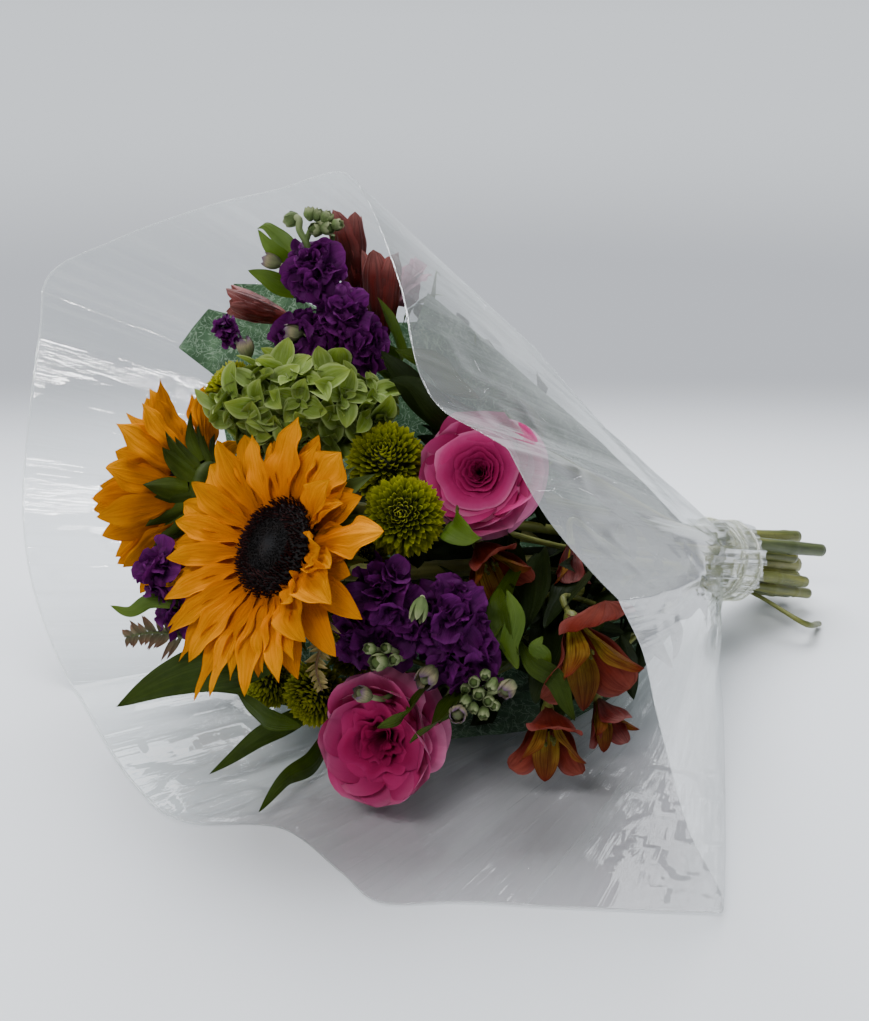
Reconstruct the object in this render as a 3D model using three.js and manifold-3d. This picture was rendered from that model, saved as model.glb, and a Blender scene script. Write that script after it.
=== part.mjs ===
// A mixed flower bouquet lying on its side in a clear film wrapper. Millimetres, +Z up.
// The stems run towards +Y and the flowers open towards -Y, above the floor at z = 0.
import * as THREE from 'three';
import { mergeVertices } from 'three/addons/utils/BufferGeometryUtils.js';
import Module from 'manifold-3d';

const wasm = await Module();
wasm.setup();

const point = (x, y, z) => new THREE.Vector3(x, y, z);
const radians = THREE.MathUtils.degToRad;

// ---- driving dimensions ----------------------------------------------------------------

const GAP = 0.35; // clearance between pieces that touch
const ROUND = { stem: 7, branch: 5, turned: 12 }; // sides of a stem, a branch and a turned head
const TIE = point(0, 133, 54); // middle of the tied bundle
const TILT = 17.3; // degrees by which the bunch rises from the tie to the flowers
const FLOOR_CENTRE = point(59.108, -8.555, 0); // moves the whole bunch over its own middle

const SUNFLOWER = { disc: 23, petal: 61, calyx: 33, depth: 16, stem: 4.7 };
const ROSE = { bloom: 31, depth: 21, stem: 3.4 };
const BUTTON = { radius: 18, depth: 11, stem: 1.5, spray: 2.8 };
const STOCK = { floret: 17, stem: 3.2 };
const LILY = { petal: 24, depth: 20, bud: 23, stem: 2.9, branch: 1.6 };

const BUNDLE = { twist: 10, splay: 0.12 }; // how the tied stems turn and spread towards their cut ends
const TISSUE = { neck: 21.0, wall: 1.0, tail: 8 };
const FILM = { neck: 22.4, wall: 1.2, tail: 50, sag: 13, bulge: 9 };
const TAPE = { wall: 1.0, from: -40, to: -16 };

const COLOUR = {
  film: 0xdfe6e6,
  tissue: 0x5f8f74,
  tape: 0xcfd4cc,
  sunPetal: 0xf5a400,
  sunDisc: 0x24100c,
  green: 0x5d7b2c,
  darkGreen: 0x24401f,
  pink: 0xd8508f,
  button: 0x7f8f12,
  bract: 0x8aa653,
  purple: 0x4b167c,
  red: 0xa33a2c,
  bud: 0x7c8a5a,
};

// ---- frames ----------------------------------------------------------------------------

const AXIS = point(0, -Math.cos(radians(TILT)), Math.sin(radians(TILT)));
const ACROSS = point(1, 0, 0);
const OVER = point(0, Math.sin(radians(TILT)), Math.cos(radians(TILT)));

// The direction at a clock angle around the bunch: 0 is +X, 90 is up.
function clockwise(degrees) {
  const angle = radians(degrees);
  return ACROSS.clone()
    .multiplyScalar(Math.cos(angle))
    .addScaledVector(OVER, Math.sin(angle));
}

// The clock angle at which a point lies around the bunch's axis.
function clockOf(place) {
  const arm = place.clone().sub(TIE);
  return THREE.MathUtils.radToDeg(Math.atan2(arm.dot(OVER), arm.dot(ACROSS)));
}

// A point of the tied bundle: its distance from the middle, its clock angle and how far along it
// lies towards the flowers. The cut ends beyond the wrapper's tail spread a little.
function bundlePoint([ring, clock], along) {
  const turned = clock + Math.min(along, 0) * (BUNDLE.twist / 90);
  const spread = 1 + BUNDLE.splay * THREE.MathUtils.smoothstep(-along, FILM.tail, 110);
  return TIE.clone().addScaledVector(AXIS, along).addScaledVector(clockwise(turned), ring * spread);
}

// How far from the middle a stem lies: round the heart stem, against the tissue or against the film.
const RING = {
  heart: () => 0,
  inner: (radius) => SUNFLOWER.stem + GAP + radius,
  tissue: (radius) => TISSUE.neck - 2.4 * GAP - radius,
  film: (radius) => FILM.neck - GAP - radius,
};
const slotOf = ([ring, clock], radius) => [RING[ring](radius), clock];

// ---- scene -----------------------------------------------------------------------------

const bouquet = new THREE.Group();
bouquet.position.copy(FLOOR_CENTRE);

function finish(color, roughness = 0.7) {
  return new THREE.MeshStandardMaterial({ color, roughness, metalness: 0 });
}

function piece(name, geometry, color, parent = bouquet) {
  const mesh = new THREE.Mesh(geometry, finish(color));
  mesh.name = name;
  parent.add(mesh);
  return mesh;
}

// A group whose +Z is the way a flower faces and whose origin is the middle of the flower.
function flowerFrame({ at, faces }) {
  const frame = new THREE.Group();
  frame.position.copy(at);
  frame.quaternion.setFromUnitVectors(point(0, 0, 1), faces.clone().normalize());
  bouquet.add(frame);
  return frame;
}

// The point on a flower's own axis, a distance in front of its middle.
function alongFace({ at, faces }, distance) {
  return at.clone().addScaledVector(faces.clone().normalize(), distance);
}

// ---- shapes ----------------------------------------------------------------------------

// A round rod along a smooth curve through the points.
function rod(points, radius, steps = 12, sides = ROUND.stem) {
  const corner = (_, i) => {
    const angle = (i / sides) * 2 * Math.PI;
    return new THREE.Vector2(radius * Math.cos(angle), radius * Math.sin(angle));
  };
  const section = new THREE.Shape(Array.from({ length: sides }, corner));
  const extrudePath = new THREE.CatmullRomCurve3(points, false, 'centripetal');
  return new THREE.ExtrudeGeometry(section, { steps, extrudePath, bevelEnabled: false });
}

// A turned solid from [radius, height] pairs, closed on the axis or on itself.
function turned(profile, segments = ROUND.turned) {
  const outline = profile.map(([r, z]) => new THREE.Vector2(r, z));
  return new THREE.LatheGeometry(outline, segments).rotateX(Math.PI / 2);
}

// A turned solid whose points beyond the inner radius are pulled in between its rays.
function rayed(profile, rays, inner, keep) {
  const geometry = turned(profile, rays * 2);
  const places = geometry.attributes.position;
  for (let i = 0; i < places.count; i += 1) {
    const x = places.getX(i);
    const y = places.getY(i);
    const radius = Math.hypot(x, y);
    const between = Math.floor(i / profile.length) % 2 !== 0;
    if (between && radius > inner) {
      const pulled = (inner + (radius - inner) * keep) / radius;
      places.setXY(i, x * pulled, y * pulled);
    }
  }
  return geometry;
}

// A thin closed sheet: place(u, v) gives its middle surface for u in 0..1 and v in -1..1.
function sheet(place, thickness, lengthwise = 8, crosswise = 2) {
  const geometry = new THREE.BoxGeometry(1, 1, 1, lengthwise, crosswise, 1);
  const places = geometry.attributes.position;
  const small = 0.01;
  for (let i = 0; i < places.count; i += 1) {
    const u = places.getX(i) + 0.5;
    const v = places.getY(i) * 2;
    const along = place(Math.min(u + small, 1), v).sub(place(Math.max(u - small, 0), v));
    const across = place(u, v + small).sub(place(u, v - small));
    const normal = along.cross(across).normalize();
    const here = place(u, v).addScaledVector(normal, places.getZ(i) * thickness);
    places.setXYZ(i, here.x, here.y, here.z);
  }
  return geometry;
}

// A leaf from base to tip: its midrib bows through a middle point, and it folds up a little.
function leaf({ base, bow, tip, width, side, thickness = 1.1 }) {
  const midrib = new THREE.QuadraticBezierCurve3(base, bow, tip);
  const sideways = side.clone().normalize();
  return sheet((u, v) => {
    const half = 0.7 + 0.5 * width * Math.sin(Math.PI * Math.pow(u, 0.8)) ** 1.2;
    const fold = point(0, 0, 0.18 * half * Math.abs(v));
    return midrib.getPoint(u).addScaledVector(sideways, half * v).add(fold);
  }, thickness);
}

// A ball of given half sizes along three directions, with shallow lumps.
function lumpyBall(at, sizes, basis, lumps = 0, rings = 6) {
  const geometry = new THREE.SphereGeometry(1, rings + 3, rings);
  const places = geometry.attributes.position;
  for (let i = 0; i < places.count; i += 1) {
    const spot = point(places.getX(i), places.getY(i), places.getZ(i));
    const swell = 1 + lumps * Math.sin(4 * spot.x + 1) * Math.cos(5 * spot.z) * Math.sin(4 * spot.y);
    spot.multiplyScalar(swell).multiply(sizes);
    places.setXYZ(i, spot.x, spot.y, spot.z);
  }
  const turn = new THREE.Matrix4().makeBasis(...basis).setPosition(at);
  return geometry.applyMatrix4(turn);
}

const UPRIGHT = [point(1, 0, 0), point(0, 1, 0), point(0, 0, 1)];

// ---- joining solids that grew as one piece ---------------------------------------------

function solidOf(geometry) {
  const bare = geometry.clone();
  bare.deleteAttribute('normal');
  bare.deleteAttribute('uv');
  const merged = mergeVertices(bare, 1e-3);
  const vertProperties = new Float32Array(merged.attributes.position.array);
  const triVerts = new Uint32Array(merged.index.array);
  return new wasm.Manifold(new wasm.Mesh({ numProp: 3, vertProperties, triVerts }));
}

function geometryOf(solid) {
  const mesh = solid.getMesh();
  const geometry = new THREE.BufferGeometry();
  geometry.setAttribute('position', new THREE.BufferAttribute(mesh.vertProperties, 3));
  geometry.setIndex(new THREE.BufferAttribute(mesh.triVerts, 1));
  return geometry.toNonIndexed();
}

function grownTogether(geometries) {
  const solids = geometries.map(solidOf);
  return geometryOf(solids.reduce((whole, next) => whole.add(next)));
}

// ---- where the flowers are -------------------------------------------------------------

const sunflowers = {
  front: { at: point(-4, -135, 127), faces: point(0.03, -0.83, 0.55) },
  left: { at: point(-104, -140, 120), faces: point(-0.77, -0.63, -0.1) },
};
const roses = {
  right: { at: point(12, -33, 148), faces: point(0.57, -0.63, 0.53) },
  low: { at: point(47, -110, 38), faces: point(0.61, -0.78, 0.14) },
  back: { at: point(-120, -4, 213), faces: point(-0.4, -0.5, 0.77), size: 0.66 },
};
const buttons = {
  upper: { at: point(-27, -66, 150), faces: point(0.44, -0.38, 0.81), size: 1.08 },
  middle: { at: point(15, -80, 138), faces: point(0.68, -0.53, 0.5), size: 1.02 },
  inner: { at: point(-30, -84, 96), faces: point(0.72, -0.56, 0.4), size: 0.95 },
  top_left: { at: point(-131, -109, 168), faces: point(-0.31, -0.59, 0.74), size: 0.88 },
  far_left: { at: point(-146, -95, 143), faces: point(-0.6, -0.59, 0.3), size: 0.76 },
  top: { at: point(-136, -76, 172), faces: point(-0.31, -0.4, 0.84), size: 0.82 },
  low_left: { at: point(-31, -138, 40), faces: point(0.13, -0.95, 0.01), size: 0.84 },
  low: { at: point(3, -125, 46), faces: point(0.5, -0.86, -0.04), size: 0.88 },
  low_inner: { at: point(-11, -97, 59), faces: point(0.48, -0.72, 0.39), size: 0.84 },
};
const bractCluster = {
  at: point(-73, -88, 168),
  sizes: point(42, 26, 19),
  basis: [point(0.515, 0.857, 0), point(-0.783, 0.47, -0.407), point(-0.349, 0.209, 0.914)],
};
const stockFlorets = {
  top: [point(-103, -65, 230), point(-83, -61, 209), point(-76, -56, 196), point(-92, -77, 197)],
  left: [point(-64, -172, 97), point(-64, -165, 76)],
  front: [
    point(28, -95, 107), point(24, -104, 87), point(47, -72, 100), point(56, -71, 80), point(37, -85, 92),
  ],
};
const lilies = {
  middle: { at: point(24, -36, 104), faces: point(0.66, -0.75, 0.09), size: 0.78 },
  right: { at: point(28, 12, 97), faces: point(0.5, -0.6, 0.6), size: 0.56 },
  large: { at: point(83, -11, 73), faces: point(0.81, -0.45, -0.2) },
  low: { at: point(83, -38, 35), faces: point(0.5, -0.8, -0.3), size: 0.74 },
  under: { at: point(71, 4, 27), faces: point(0.8, -0.5, -0.1), size: 0.56 },
};
const lilyBuds = {
  tall: { at: point(-124, -34, 230), faces: point(-0.25, 0.05, 0.95), size: 1 },
  behind: { at: point(-97, -29, 212), faces: point(-0.1, 0.1, 0.95), size: 1.08 },
  side: { at: point(-140, -83, 205), faces: point(-0.31, -0.9, 0.31), size: 0.8 },
};

// ---- sunflowers ------------------------------------------------------------------------

// A sunflower head: green calyx behind, dark disc in front, and a dished ring of ray petals.
function sunflower(label, place, dish) {
  const { disc, petal, calyx, depth } = SUNFLOWER;
  const frame = flowerFrame(place);
  const calyxSide = [[0, -depth], [6, -depth], [18, -9], [calyx, -7], [calyx, -5.6], [20, -1], [0, -1]];
  piece(`sunflower_${label}_calyx`, rayed(calyxSide, 9, 20, 0.4), COLOUR.darkGreen, frame);
  const discSide = [[0, -1 + GAP], [disc - 2, -1 + GAP], [disc, 1], [17, 5.5], [8, 6.5], [0, 6]];
  piece(`sunflower_${label}_disc`, turned(discSide, 18), COLOUR.sunDisc, frame);
  const inner = disc + GAP + 0.2;
  const reach = petal * Math.cos(radians(dish));
  const rise = petal * Math.sin(radians(dish));
  const ringSide = [
    [inner, -0.4], [inner + 8, 0], [reach, rise], [reach, rise + 1.4], [inner + 8, 1.8], [inner, 1.4],
    [inner, -0.4],
  ];
  piece(`sunflower_${label}_petals`, rayed(ringSide, 15, inner + 9, 0.55), COLOUR.sunPetal, frame);
}
sunflower('front', sunflowers.front, 4);
sunflower('left', sunflowers.left, 27);

// ---- roses -----------------------------------------------------------------------------

// A rose: a full bloom with a shallow eye, and five sepals under it.
function rose(label, place) {
  const size = place.size ?? 1;
  const { bloom, depth } = ROSE;
  const frame = flowerFrame(place);
  const side = [
    [0, -depth], [9, -depth], [22, -13], [bloom - 1, 0], [bloom, 7], [24, 12], [12, 13], [0, 11],
  ];
  const flower = rayed(side, 5, bloom - 6, 0.86).scale(size, size, size);
  piece(`rose_${label}_bloom`, flower, COLOUR.pink, frame);
  const sepalSide = [
    [0, -depth - 7], [3.5, -depth - 7], [6, -depth - 2.5], [17, -depth - 5], [17, -depth - 4],
    [8, -depth - GAP], [0, -depth - GAP],
  ];
  const sepals = rayed(sepalSide, 5, 7, 0.2).scale(size, size, size);
  piece(`rose_${label}_sepals`, sepals, COLOUR.green, frame);
}
Object.entries(roses).forEach(([label, place]) => rose(label, place));

// ---- button chrysanthemums ---------------------------------------------------------------

function button(label, place) {
  const { radius, depth } = BUTTON;
  const side = [[0, -depth], [7, -depth], [radius - 3, -6], [radius, 1], [14, 9], [6, 12], [0, 12.5]];
  const head = turned(side).scale(place.size, place.size, place.size);
  piece(`button_chrysanthemum_${label}`, head, COLOUR.button, flowerFrame(place));
}
Object.entries(buttons).forEach(([label, place]) => button(label, place));

// ---- green bract cluster -----------------------------------------------------------------

const bractBall = lumpyBall(bractCluster.at, bractCluster.sizes, bractCluster.basis, 0.1, 9);
piece('green_bract_cluster', bractBall, COLOUR.bract);

// ---- purple stock ------------------------------------------------------------------------

// The open florets of one stock spike, grown together along its inner stalk.
function stockSpike(label, places, size) {
  const sizes = point(1, 0.95, 0.9).multiplyScalar(STOCK.floret * size);
  const florets = places.map((at) => lumpyBall(at, sizes, UPRIGHT, 0.14));
  const stalk = rod(places, STOCK.stem, places.length * 2, ROUND.branch);
  piece(`stock_${label}_florets`, grownTogether([stalk, ...florets]), COLOUR.purple);
}
stockSpike('top', stockFlorets.top, 0.95);
stockSpike('left', stockFlorets.left, 0.82);
stockSpike('front', stockFlorets.front, 0.98);

// A stalk with round buds on it, as at the tip of a stock spike.
function budSpike(name, stalk, buds, size) {
  const sizes = point(size, size, size);
  const knobs = buds.map((at) => lumpyBall(at, sizes, UPRIGHT, 0, 5));
  piece(name, grownTogether([rod(stalk, BUTTON.stem, 5, ROUND.branch), ...knobs]), COLOUR.bud);
}
budSpike(
  'stock_top_buds',
  [point(-111, -66, 242.5), point(-117, -67, 250), point(-115, -63, 257), point(-107, -56, 256)],
  [point(-117, -67, 251), point(-114, -62, 257), point(-107, -56, 255)],
  4.2,
);
budSpike(
  'stock_front_buds',
  [point(60, -75.5, 65), point(66, -72, 61), point(76, -62, 60)],
  [point(66, -72, 61), point(72, -63, 64), point(77, -61, 58)],
  4.6,
);

// ---- alstroemeria --------------------------------------------------------------------------

// An open flower: a funnel of six petals on a narrow throat.
function lily(label, place) {
  const { petal, depth } = LILY;
  const size = place.size ?? 1;
  const side = [
    [0, -depth], [3.5, -depth + 1], [7, -7], [14, 3], [petal, 11], [petal - 1, 13], [12, 6], [4, -3], [0, -5],
  ];
  const flower = rayed(side, 6, 12, 0.6).scale(size, size, size);
  piece(`alstroemeria_${label}_flower`, flower, COLOUR.red, flowerFrame(place));
}
Object.entries(lilies).forEach(([label, place]) => lily(label, place));

// A closed flower: a long spindle.
function lilyBud(label, place) {
  const side = [[0, -LILY.bud], [4, 1 - LILY.bud], [9, -8], [10.5, 6], [7, 18], [0, 24]];
  const bud = turned(side, 9).scale(place.size, place.size, place.size);
  piece(`alstroemeria_${label}_bud`, bud, COLOUR.red, flowerFrame(place));
}
Object.entries(lilyBuds).forEach(([label, place]) => lilyBud(label, place));

// ---- stems -----------------------------------------------------------------------------------

// The line of a stem: cut end, straight through the tie, then to where it meets the flower.
function stemLine(slot, cut, end, arrive, bend = 24) {
  const turnIn = end.clone().addScaledVector(arrive.clone().normalize(), -bend);
  const out = bundlePoint(slot, 8);
  return [
    bundlePoint(slot, -cut),
    bundlePoint(slot, -cut / 2),
    bundlePoint(slot, -4),
    out,
    out.clone().lerp(turnIn, 0.5),
    turnIn,
    end,
  ];
}

// A stem that carries one flower, ending just behind it.
function stem(name, slot, radius, cut, flower, behind) {
  const end = alongFace(flower, -behind - GAP);
  const line = stemLine(slotOf(slot, radius), cut, end, flower.faces);
  piece(name, rod(line, radius, 14), COLOUR.green);
}
stem('sunflower_front_stem', ['heart', 0], SUNFLOWER.stem, 104, sunflowers.front, SUNFLOWER.depth);
stem('sunflower_left_stem', ['inner', 205], SUNFLOWER.stem * 0.9, 98, sunflowers.left, SUNFLOWER.depth);
stem('rose_right_stem', ['film', 62], ROSE.stem, 106, roses.right, ROSE.depth + 7);
stem('rose_low_stem', ['tissue', 296], ROSE.stem, 100, roses.low, ROSE.depth + 7);
stem('rose_back_stem', ['tissue', 143], ROSE.stem, 94, roses.back, (ROSE.depth + 7) * roses.back.size);

// A spray: one stem that forks into a thin branch for each flower.
function spray(name, place, radius, cut, fork, heads, branch) {
  const slot = slotOf(place, radius);
  const out = bundlePoint(slot, 8);
  const trunk = [
    bundlePoint(slot, -cut), bundlePoint(slot, -cut / 2), bundlePoint(slot, -4),
    out, out.clone().lerp(fork, 0.5), fork,
  ];
  const arms = heads.map(({ flower, behind, bend }) => {
    const end = alongFace(flower, -behind * (flower.size ?? 1) - GAP);
    const turnIn = end.clone().addScaledVector(flower.faces.clone().normalize(), -bend);
    const root = fork.clone().addScaledVector(out.clone().sub(fork).normalize(), 3);
    return rod([root, fork, fork.clone().lerp(turnIn, 0.5), turnIn, end], branch, 6, ROUND.branch);
  });
  piece(name, grownTogether([rod(trunk, radius, 11), ...arms]), COLOUR.green);
}
const onButton = (label) => ({ flower: buttons[label], behind: BUTTON.depth, bend: 6 });
const onLily = (label) => ({ flower: lilies[label], behind: LILY.depth, bend: 12 });
const onBud = (label) => ({ flower: lilyBuds[label], behind: LILY.bud, bend: 12 });
spray(
  'chrysanthemum_upper_stem', ['inner', 62], BUTTON.spray, 92, point(-11, -18, 111),
  [onButton('upper'), onButton('middle'), onButton('inner')], BUTTON.stem,
);
spray(
  'chrysanthemum_left_stem', ['tissue', 190], BUTTON.spray, 102, point(-88, 2, 116),
  [onButton('top_left'), onButton('far_left'), onButton('top')], BUTTON.stem,
);
spray(
  'chrysanthemum_low_stem', ['inner', 262], BUTTON.spray, 96, point(4, -44, 32),
  [onButton('low_left'), onButton('low'), onButton('low_inner')], BUTTON.stem,
);
spray(
  'alstroemeria_top_stem', ['tissue', 167], LILY.stem, 100, point(-74, 30, 140),
  [onBud('tall'), onBud('behind'), onBud('side')], LILY.branch,
);
spray(
  'alstroemeria_low_stem', ['film', 330], LILY.stem, 105, point(36, 66, 48),
  [onLily('large'), onLily('low'), onLily('under')], LILY.branch,
);
spray(
  'alstroemeria_middle_stem', ['film', 358], LILY.stem, 90, point(20, 64, 78),
  [onLily('middle'), onLily('right')], LILY.branch,
);

// Stems that end under a cluster or a spike: they meet its middle from the side of the tie.
function plainStem(name, slot, radius, cut, middle, behind) {
  const faces = middle.clone().sub(bundlePoint(slotOf(slot, radius), 8)).normalize();
  stem(name, slot, radius, cut, { at: middle, faces }, behind);
}
plainStem('bract_cluster_stem', ['inner', 140], 2.9, 94, bractCluster.at, 36);
plainStem('stock_top_stem', ['tissue', 118], STOCK.stem, 103, stockFlorets.top[2], 15.0);
plainStem('stock_left_stem', ['tissue', 214], STOCK.stem, 95, stockFlorets.left[1], 13.0);
plainStem('stock_front_stem', ['inner', 325], STOCK.stem, 100, stockFlorets.front[4], 21.6);

// ---- foliage ----------------------------------------------------------------------------------

const FOLIAGE = { stem: 2.2, end: point(-14, -112, 26) };
const foliageSlot = slotOf(['tissue', 262], FOLIAGE.stem);
const foliageLine = stemLine(foliageSlot, 88, FOLIAGE.end, point(0, -1, 0));
piece('foliage_stem', rod(foliageLine, FOLIAGE.stem, 12, ROUND.branch), COLOUR.green);

const leaves = {
  left_large: {
    base: point(-17, -108, 25), bow: point(-48, -160, 8), tip: point(-78, -203, 22), width: 26,
    side: point(0.8, -0.5, 0.1),
  },
  low_left: {
    base: point(-14, -112.5, 25), bow: point(-6, -150, 26), tip: point(-14, -176, 8), width: 13,
    side: point(1, 0.1, 0),
  },
  low_front: {
    base: point(-11, -104, 25), bow: point(12, -128, 8), tip: point(22, -164, 6), width: 13,
    side: point(1, 0.2, 0),
  },
  top: {
    base: point(-116.2, -68.8, 234.2), bow: point(-132, -75, 246), tip: point(-146, -80, 249), width: 9,
    side: point(0.3, 0.5, 0.8),
  },
};
Object.entries(leaves).forEach(([label, shape]) => {
  piece(`leaf_${label}`, leaf(shape), COLOUR.darkGreen);
});

// A fine sprig of needles on its own long stem, under the left sunflower.
const NEEDLES = { stem: 1.5, sizes: point(21, 6, 4), at: point(-76, -180, 57), base: point(-60, -167, 60) };
const needleSlot = slotOf(['tissue', 238], NEEDLES.stem);
const needleWay = NEEDLES.at.clone().sub(NEEDLES.base).normalize();
const needleSide = needleWay.clone().cross(UPRIGHT[2]).normalize();
const needleBasis = [needleWay, needleSide, needleWay.clone().cross(needleSide)];
const needleBall = lumpyBall(NEEDLES.at, NEEDLES.sizes, needleBasis);
const needleStem = rod(stemLine(needleSlot, 84, NEEDLES.base, needleWay), NEEDLES.stem, 12, ROUND.branch);
piece('needle_sprig', grownTogether([needleStem, needleBall]), COLOUR.bud);

// A thin stray stem that leaves the bundle at the end of the film and bends down to the floor.
const STRAY = { radius: 1.4, low: point(39, 214, 1.9) };
const straySlot = slotOf(['film', 313], STRAY.radius);
const strayLine = [
  bundlePoint(straySlot, 8), bundlePoint(straySlot, -FILM.tail / 2), bundlePoint(straySlot, -FILM.tail),
  STRAY.low,
];
piece('loose_stem', rod(strayLine, STRAY.radius, 9, ROUND.branch), COLOUR.green);

// ---- wrapper -----------------------------------------------------------------------------------

// The open rim of the film, once round from its top corner.
const filmRim = [
  point(-158, -22, 278), point(-194, -51, 264), point(-234, -83, 251), point(-272, -130, 232),
  point(-292, -166, 212), point(-280, -181, 179), point(-256, -200, 128), point(-226, -216, 80),
  point(-193, -222, 46), point(-161, -221, 20), point(-133, -216, 0), point(-38, -209, 0),
  point(3, -197, 0), point(32, -157, 0), point(71, -145, 0), point(93, -139, 0),
  point(112, -108, 0), point(141, -66, 0), point(174, -17, 0), point(164, -31, 44),
  point(146, -36, 89), point(129, -35, 117), point(112, -44, 138), point(84, -52, 164),
  point(50, -63, 188), point(20, -70, 203), point(-45, -48, 230), point(-120, -26, 264),
];

// The film: a funnel from the neck under the tape to its open rim. It lies flat on the floor.
function filmWrapper(columns = 44) {
  const { neck, wall, tail, sag, bulge } = FILM;
  const rim = new THREE.CatmullRomCurve3(filmRim, true, 'centripetal');
  const rows = [-tail, -tail / 2, 0, 0.1, 0.25, 0.42, 0.6, 0.8, 1];
  const surface = (turn, row, depth) => {
    const edge = rim.getPoint(turn);
    const clock = clockOf(edge);
    const outward = clockwise(clock);
    if (row <= 0) {
      return bundlePoint([neck + wall - depth, clock], row);
    }
    const start = bundlePoint([neck + wall, clock], 0);
    const lean = edge.clone().sub(TIE).angleTo(AXIS);
    const inward = AXIS.clone().multiplyScalar(Math.sin(lean)).addScaledVector(outward, -Math.cos(lean));
    const hump = 4 * row * (1 - row);
    const here = start.clone().lerp(edge, row).addScaledVector(outward, bulge * hump);
    const low = THREE.MathUtils.smoothstep(60 - edge.z, 0, 60);
    here.z = Math.max(here.z - low * sag * hump, 0);
    const raised = here.z + (low > 0.5 ? depth : 0);
    here.addScaledVector(inward, depth);
    here.z = Math.max(here.z, raised);
    return here;
  };
  const outerSide = rows.map((row) => [row, 0]);
  const innerSide = rows.map((row) => [row, wall]).reverse();
  const loop = [...outerSide, ...innerSide, outerSide[0]];
  const ring = loop.map((_, i) => new THREE.Vector2(2 + Math.cos(i), Math.sin(i)));
  const geometry = new THREE.LatheGeometry(ring, columns);
  const places = geometry.attributes.position;
  for (let i = 0; i < places.count; i += 1) {
    const turn = (Math.floor(i / loop.length) % columns) / columns;
    const [row, depth] = loop[i % loop.length];
    const here = surface(turn, row, depth);
    places.setXYZ(i, here.x, here.y, here.z);
  }
  return geometry;
}
piece('film_wrapper', filmWrapper(), COLOUR.film);

// The tissue's open edge, from its upper near corner round the left to its lower near corner.
const tissueRim = [
  point(-57, -42, 188), point(-84, -8, 222), point(-130, 24, 190), point(-165, -18, 186),
  point(-190, -55, 210), point(-204, -76, 210), point(-196, -80, 192), point(-208, -92, 195),
  point(-203, -115, 175), point(-190, -98, 158), point(-180, -98, 112), point(-128, -134, 68),
  point(-62, -140, 22), point(-14, -104, 10), point(26, -62, 9), point(50, -4, 9), point(48, 40, 14),
];

function alongPolyline(points, share) {
  const place = share * (points.length - 1);
  const first = Math.min(Math.floor(place), points.length - 2);
  return points[first].clone().lerp(points[first + 1], place - first);
}

// The tissue: an open wrap inside the film, from the neck to its cut edge.
function tissueWrap() {
  const { neck, wall, tail } = TISSUE;
  const rows = 6;
  return sheet((u, v) => {
    const edge = alongPolyline(tissueRim, u);
    const clock = clockOf(edge);
    const row = ((v + 1) / 2) * rows - 1;
    const start = bundlePoint([neck + wall / 2, clock], Math.min(row, 0) * tail);
    const share = Math.max(row, 0) / (rows - 1);
    const hump = 4 * share * (1 - share);
    return start.lerp(edge, share).addScaledVector(clockwise(clock), 3 * hump);
  }, wall, (tissueRim.length - 1) * 2, rows);
}
piece('tissue_wrap', tissueWrap(), COLOUR.tissue);

// The clear tape round the neck of the film.
const tapeInner = FILM.neck + FILM.wall + GAP;
const tapeSide = [
  [tapeInner, TAPE.from], [tapeInner + TAPE.wall, TAPE.from], [tapeInner + TAPE.wall, TAPE.to],
  [tapeInner, TAPE.to], [tapeInner, TAPE.from],
];
piece('tie_tape', turned(tapeSide, 20), COLOUR.tape, flowerFrame({ at: TIE, faces: AXIS }));

export default bouquet;
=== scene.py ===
import math

import bpy
import numpy as np
from mathutils import Matrix


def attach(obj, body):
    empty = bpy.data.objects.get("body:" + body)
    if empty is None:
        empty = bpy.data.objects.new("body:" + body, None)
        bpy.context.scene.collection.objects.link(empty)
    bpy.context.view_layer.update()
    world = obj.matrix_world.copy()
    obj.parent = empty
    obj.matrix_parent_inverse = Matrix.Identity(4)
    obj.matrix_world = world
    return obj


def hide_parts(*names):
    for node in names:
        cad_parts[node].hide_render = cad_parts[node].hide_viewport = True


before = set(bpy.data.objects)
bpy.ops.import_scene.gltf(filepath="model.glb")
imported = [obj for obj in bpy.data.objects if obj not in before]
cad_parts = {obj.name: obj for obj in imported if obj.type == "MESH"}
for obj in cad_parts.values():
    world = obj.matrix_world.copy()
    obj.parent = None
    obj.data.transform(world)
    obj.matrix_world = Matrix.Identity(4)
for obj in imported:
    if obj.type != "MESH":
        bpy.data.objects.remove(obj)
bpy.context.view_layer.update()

# ---- the bouquet's own frame ----
# Places are in millimetres in the bouquet's frame, as in its CAD source; FLOOR_CENTRE carries
# them to the row frame. The stems run towards +Y and the flowers open towards -Y: AXIS runs from
# the tie to the flowers, and ACROSS and OVER are square to it. GOLDEN is the angle, in degrees,
# between one floret or leaf and the next.

MM = 0.001
FLOOR_CENTRE = np.array([59.108, -8.555, 0.0])
TIE = np.array([0.0, 133.0, 54.0])
TILT = math.radians(17.3)
AXIS = np.array([0.0, -math.cos(TILT), math.sin(TILT)])
ACROSS = np.array([1.0, 0.0, 0.0])
OVER = np.array([0.0, math.sin(TILT), math.cos(TILT)])
GOLDEN = 137.50776
CAMERA_AT = np.array([367.8, -274.5, 320.0])
CAMERA_RIGHT = np.array([0.515, 0.857, 0.0])
CAMERA_UP = np.array([-0.349, 0.209, 0.9135])
CAMERA_BACK = np.array([0.783, -0.470, 0.407])

# ---- arithmetic on whole arrays ----


def places(words):
    """An array of points from words: their numbers, with a comma between one point and the next."""
    return np.array([[float(number) for number in point.split()] for point in words.split(",")])


def unit(v):
    """Each row divided by its own length."""
    v = np.asarray(v, float)
    return v / np.maximum(np.linalg.norm(v, axis=-1, keepdims=True), 1e-9)


def smooth(x, low, high):
    """0 below low, 1 above high, and between them 3x^2 - 2x^3 of the share."""
    share = np.clip((x - low) / (high - low), 0, 1)
    return share * share * (3 - 2 * share)


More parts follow.
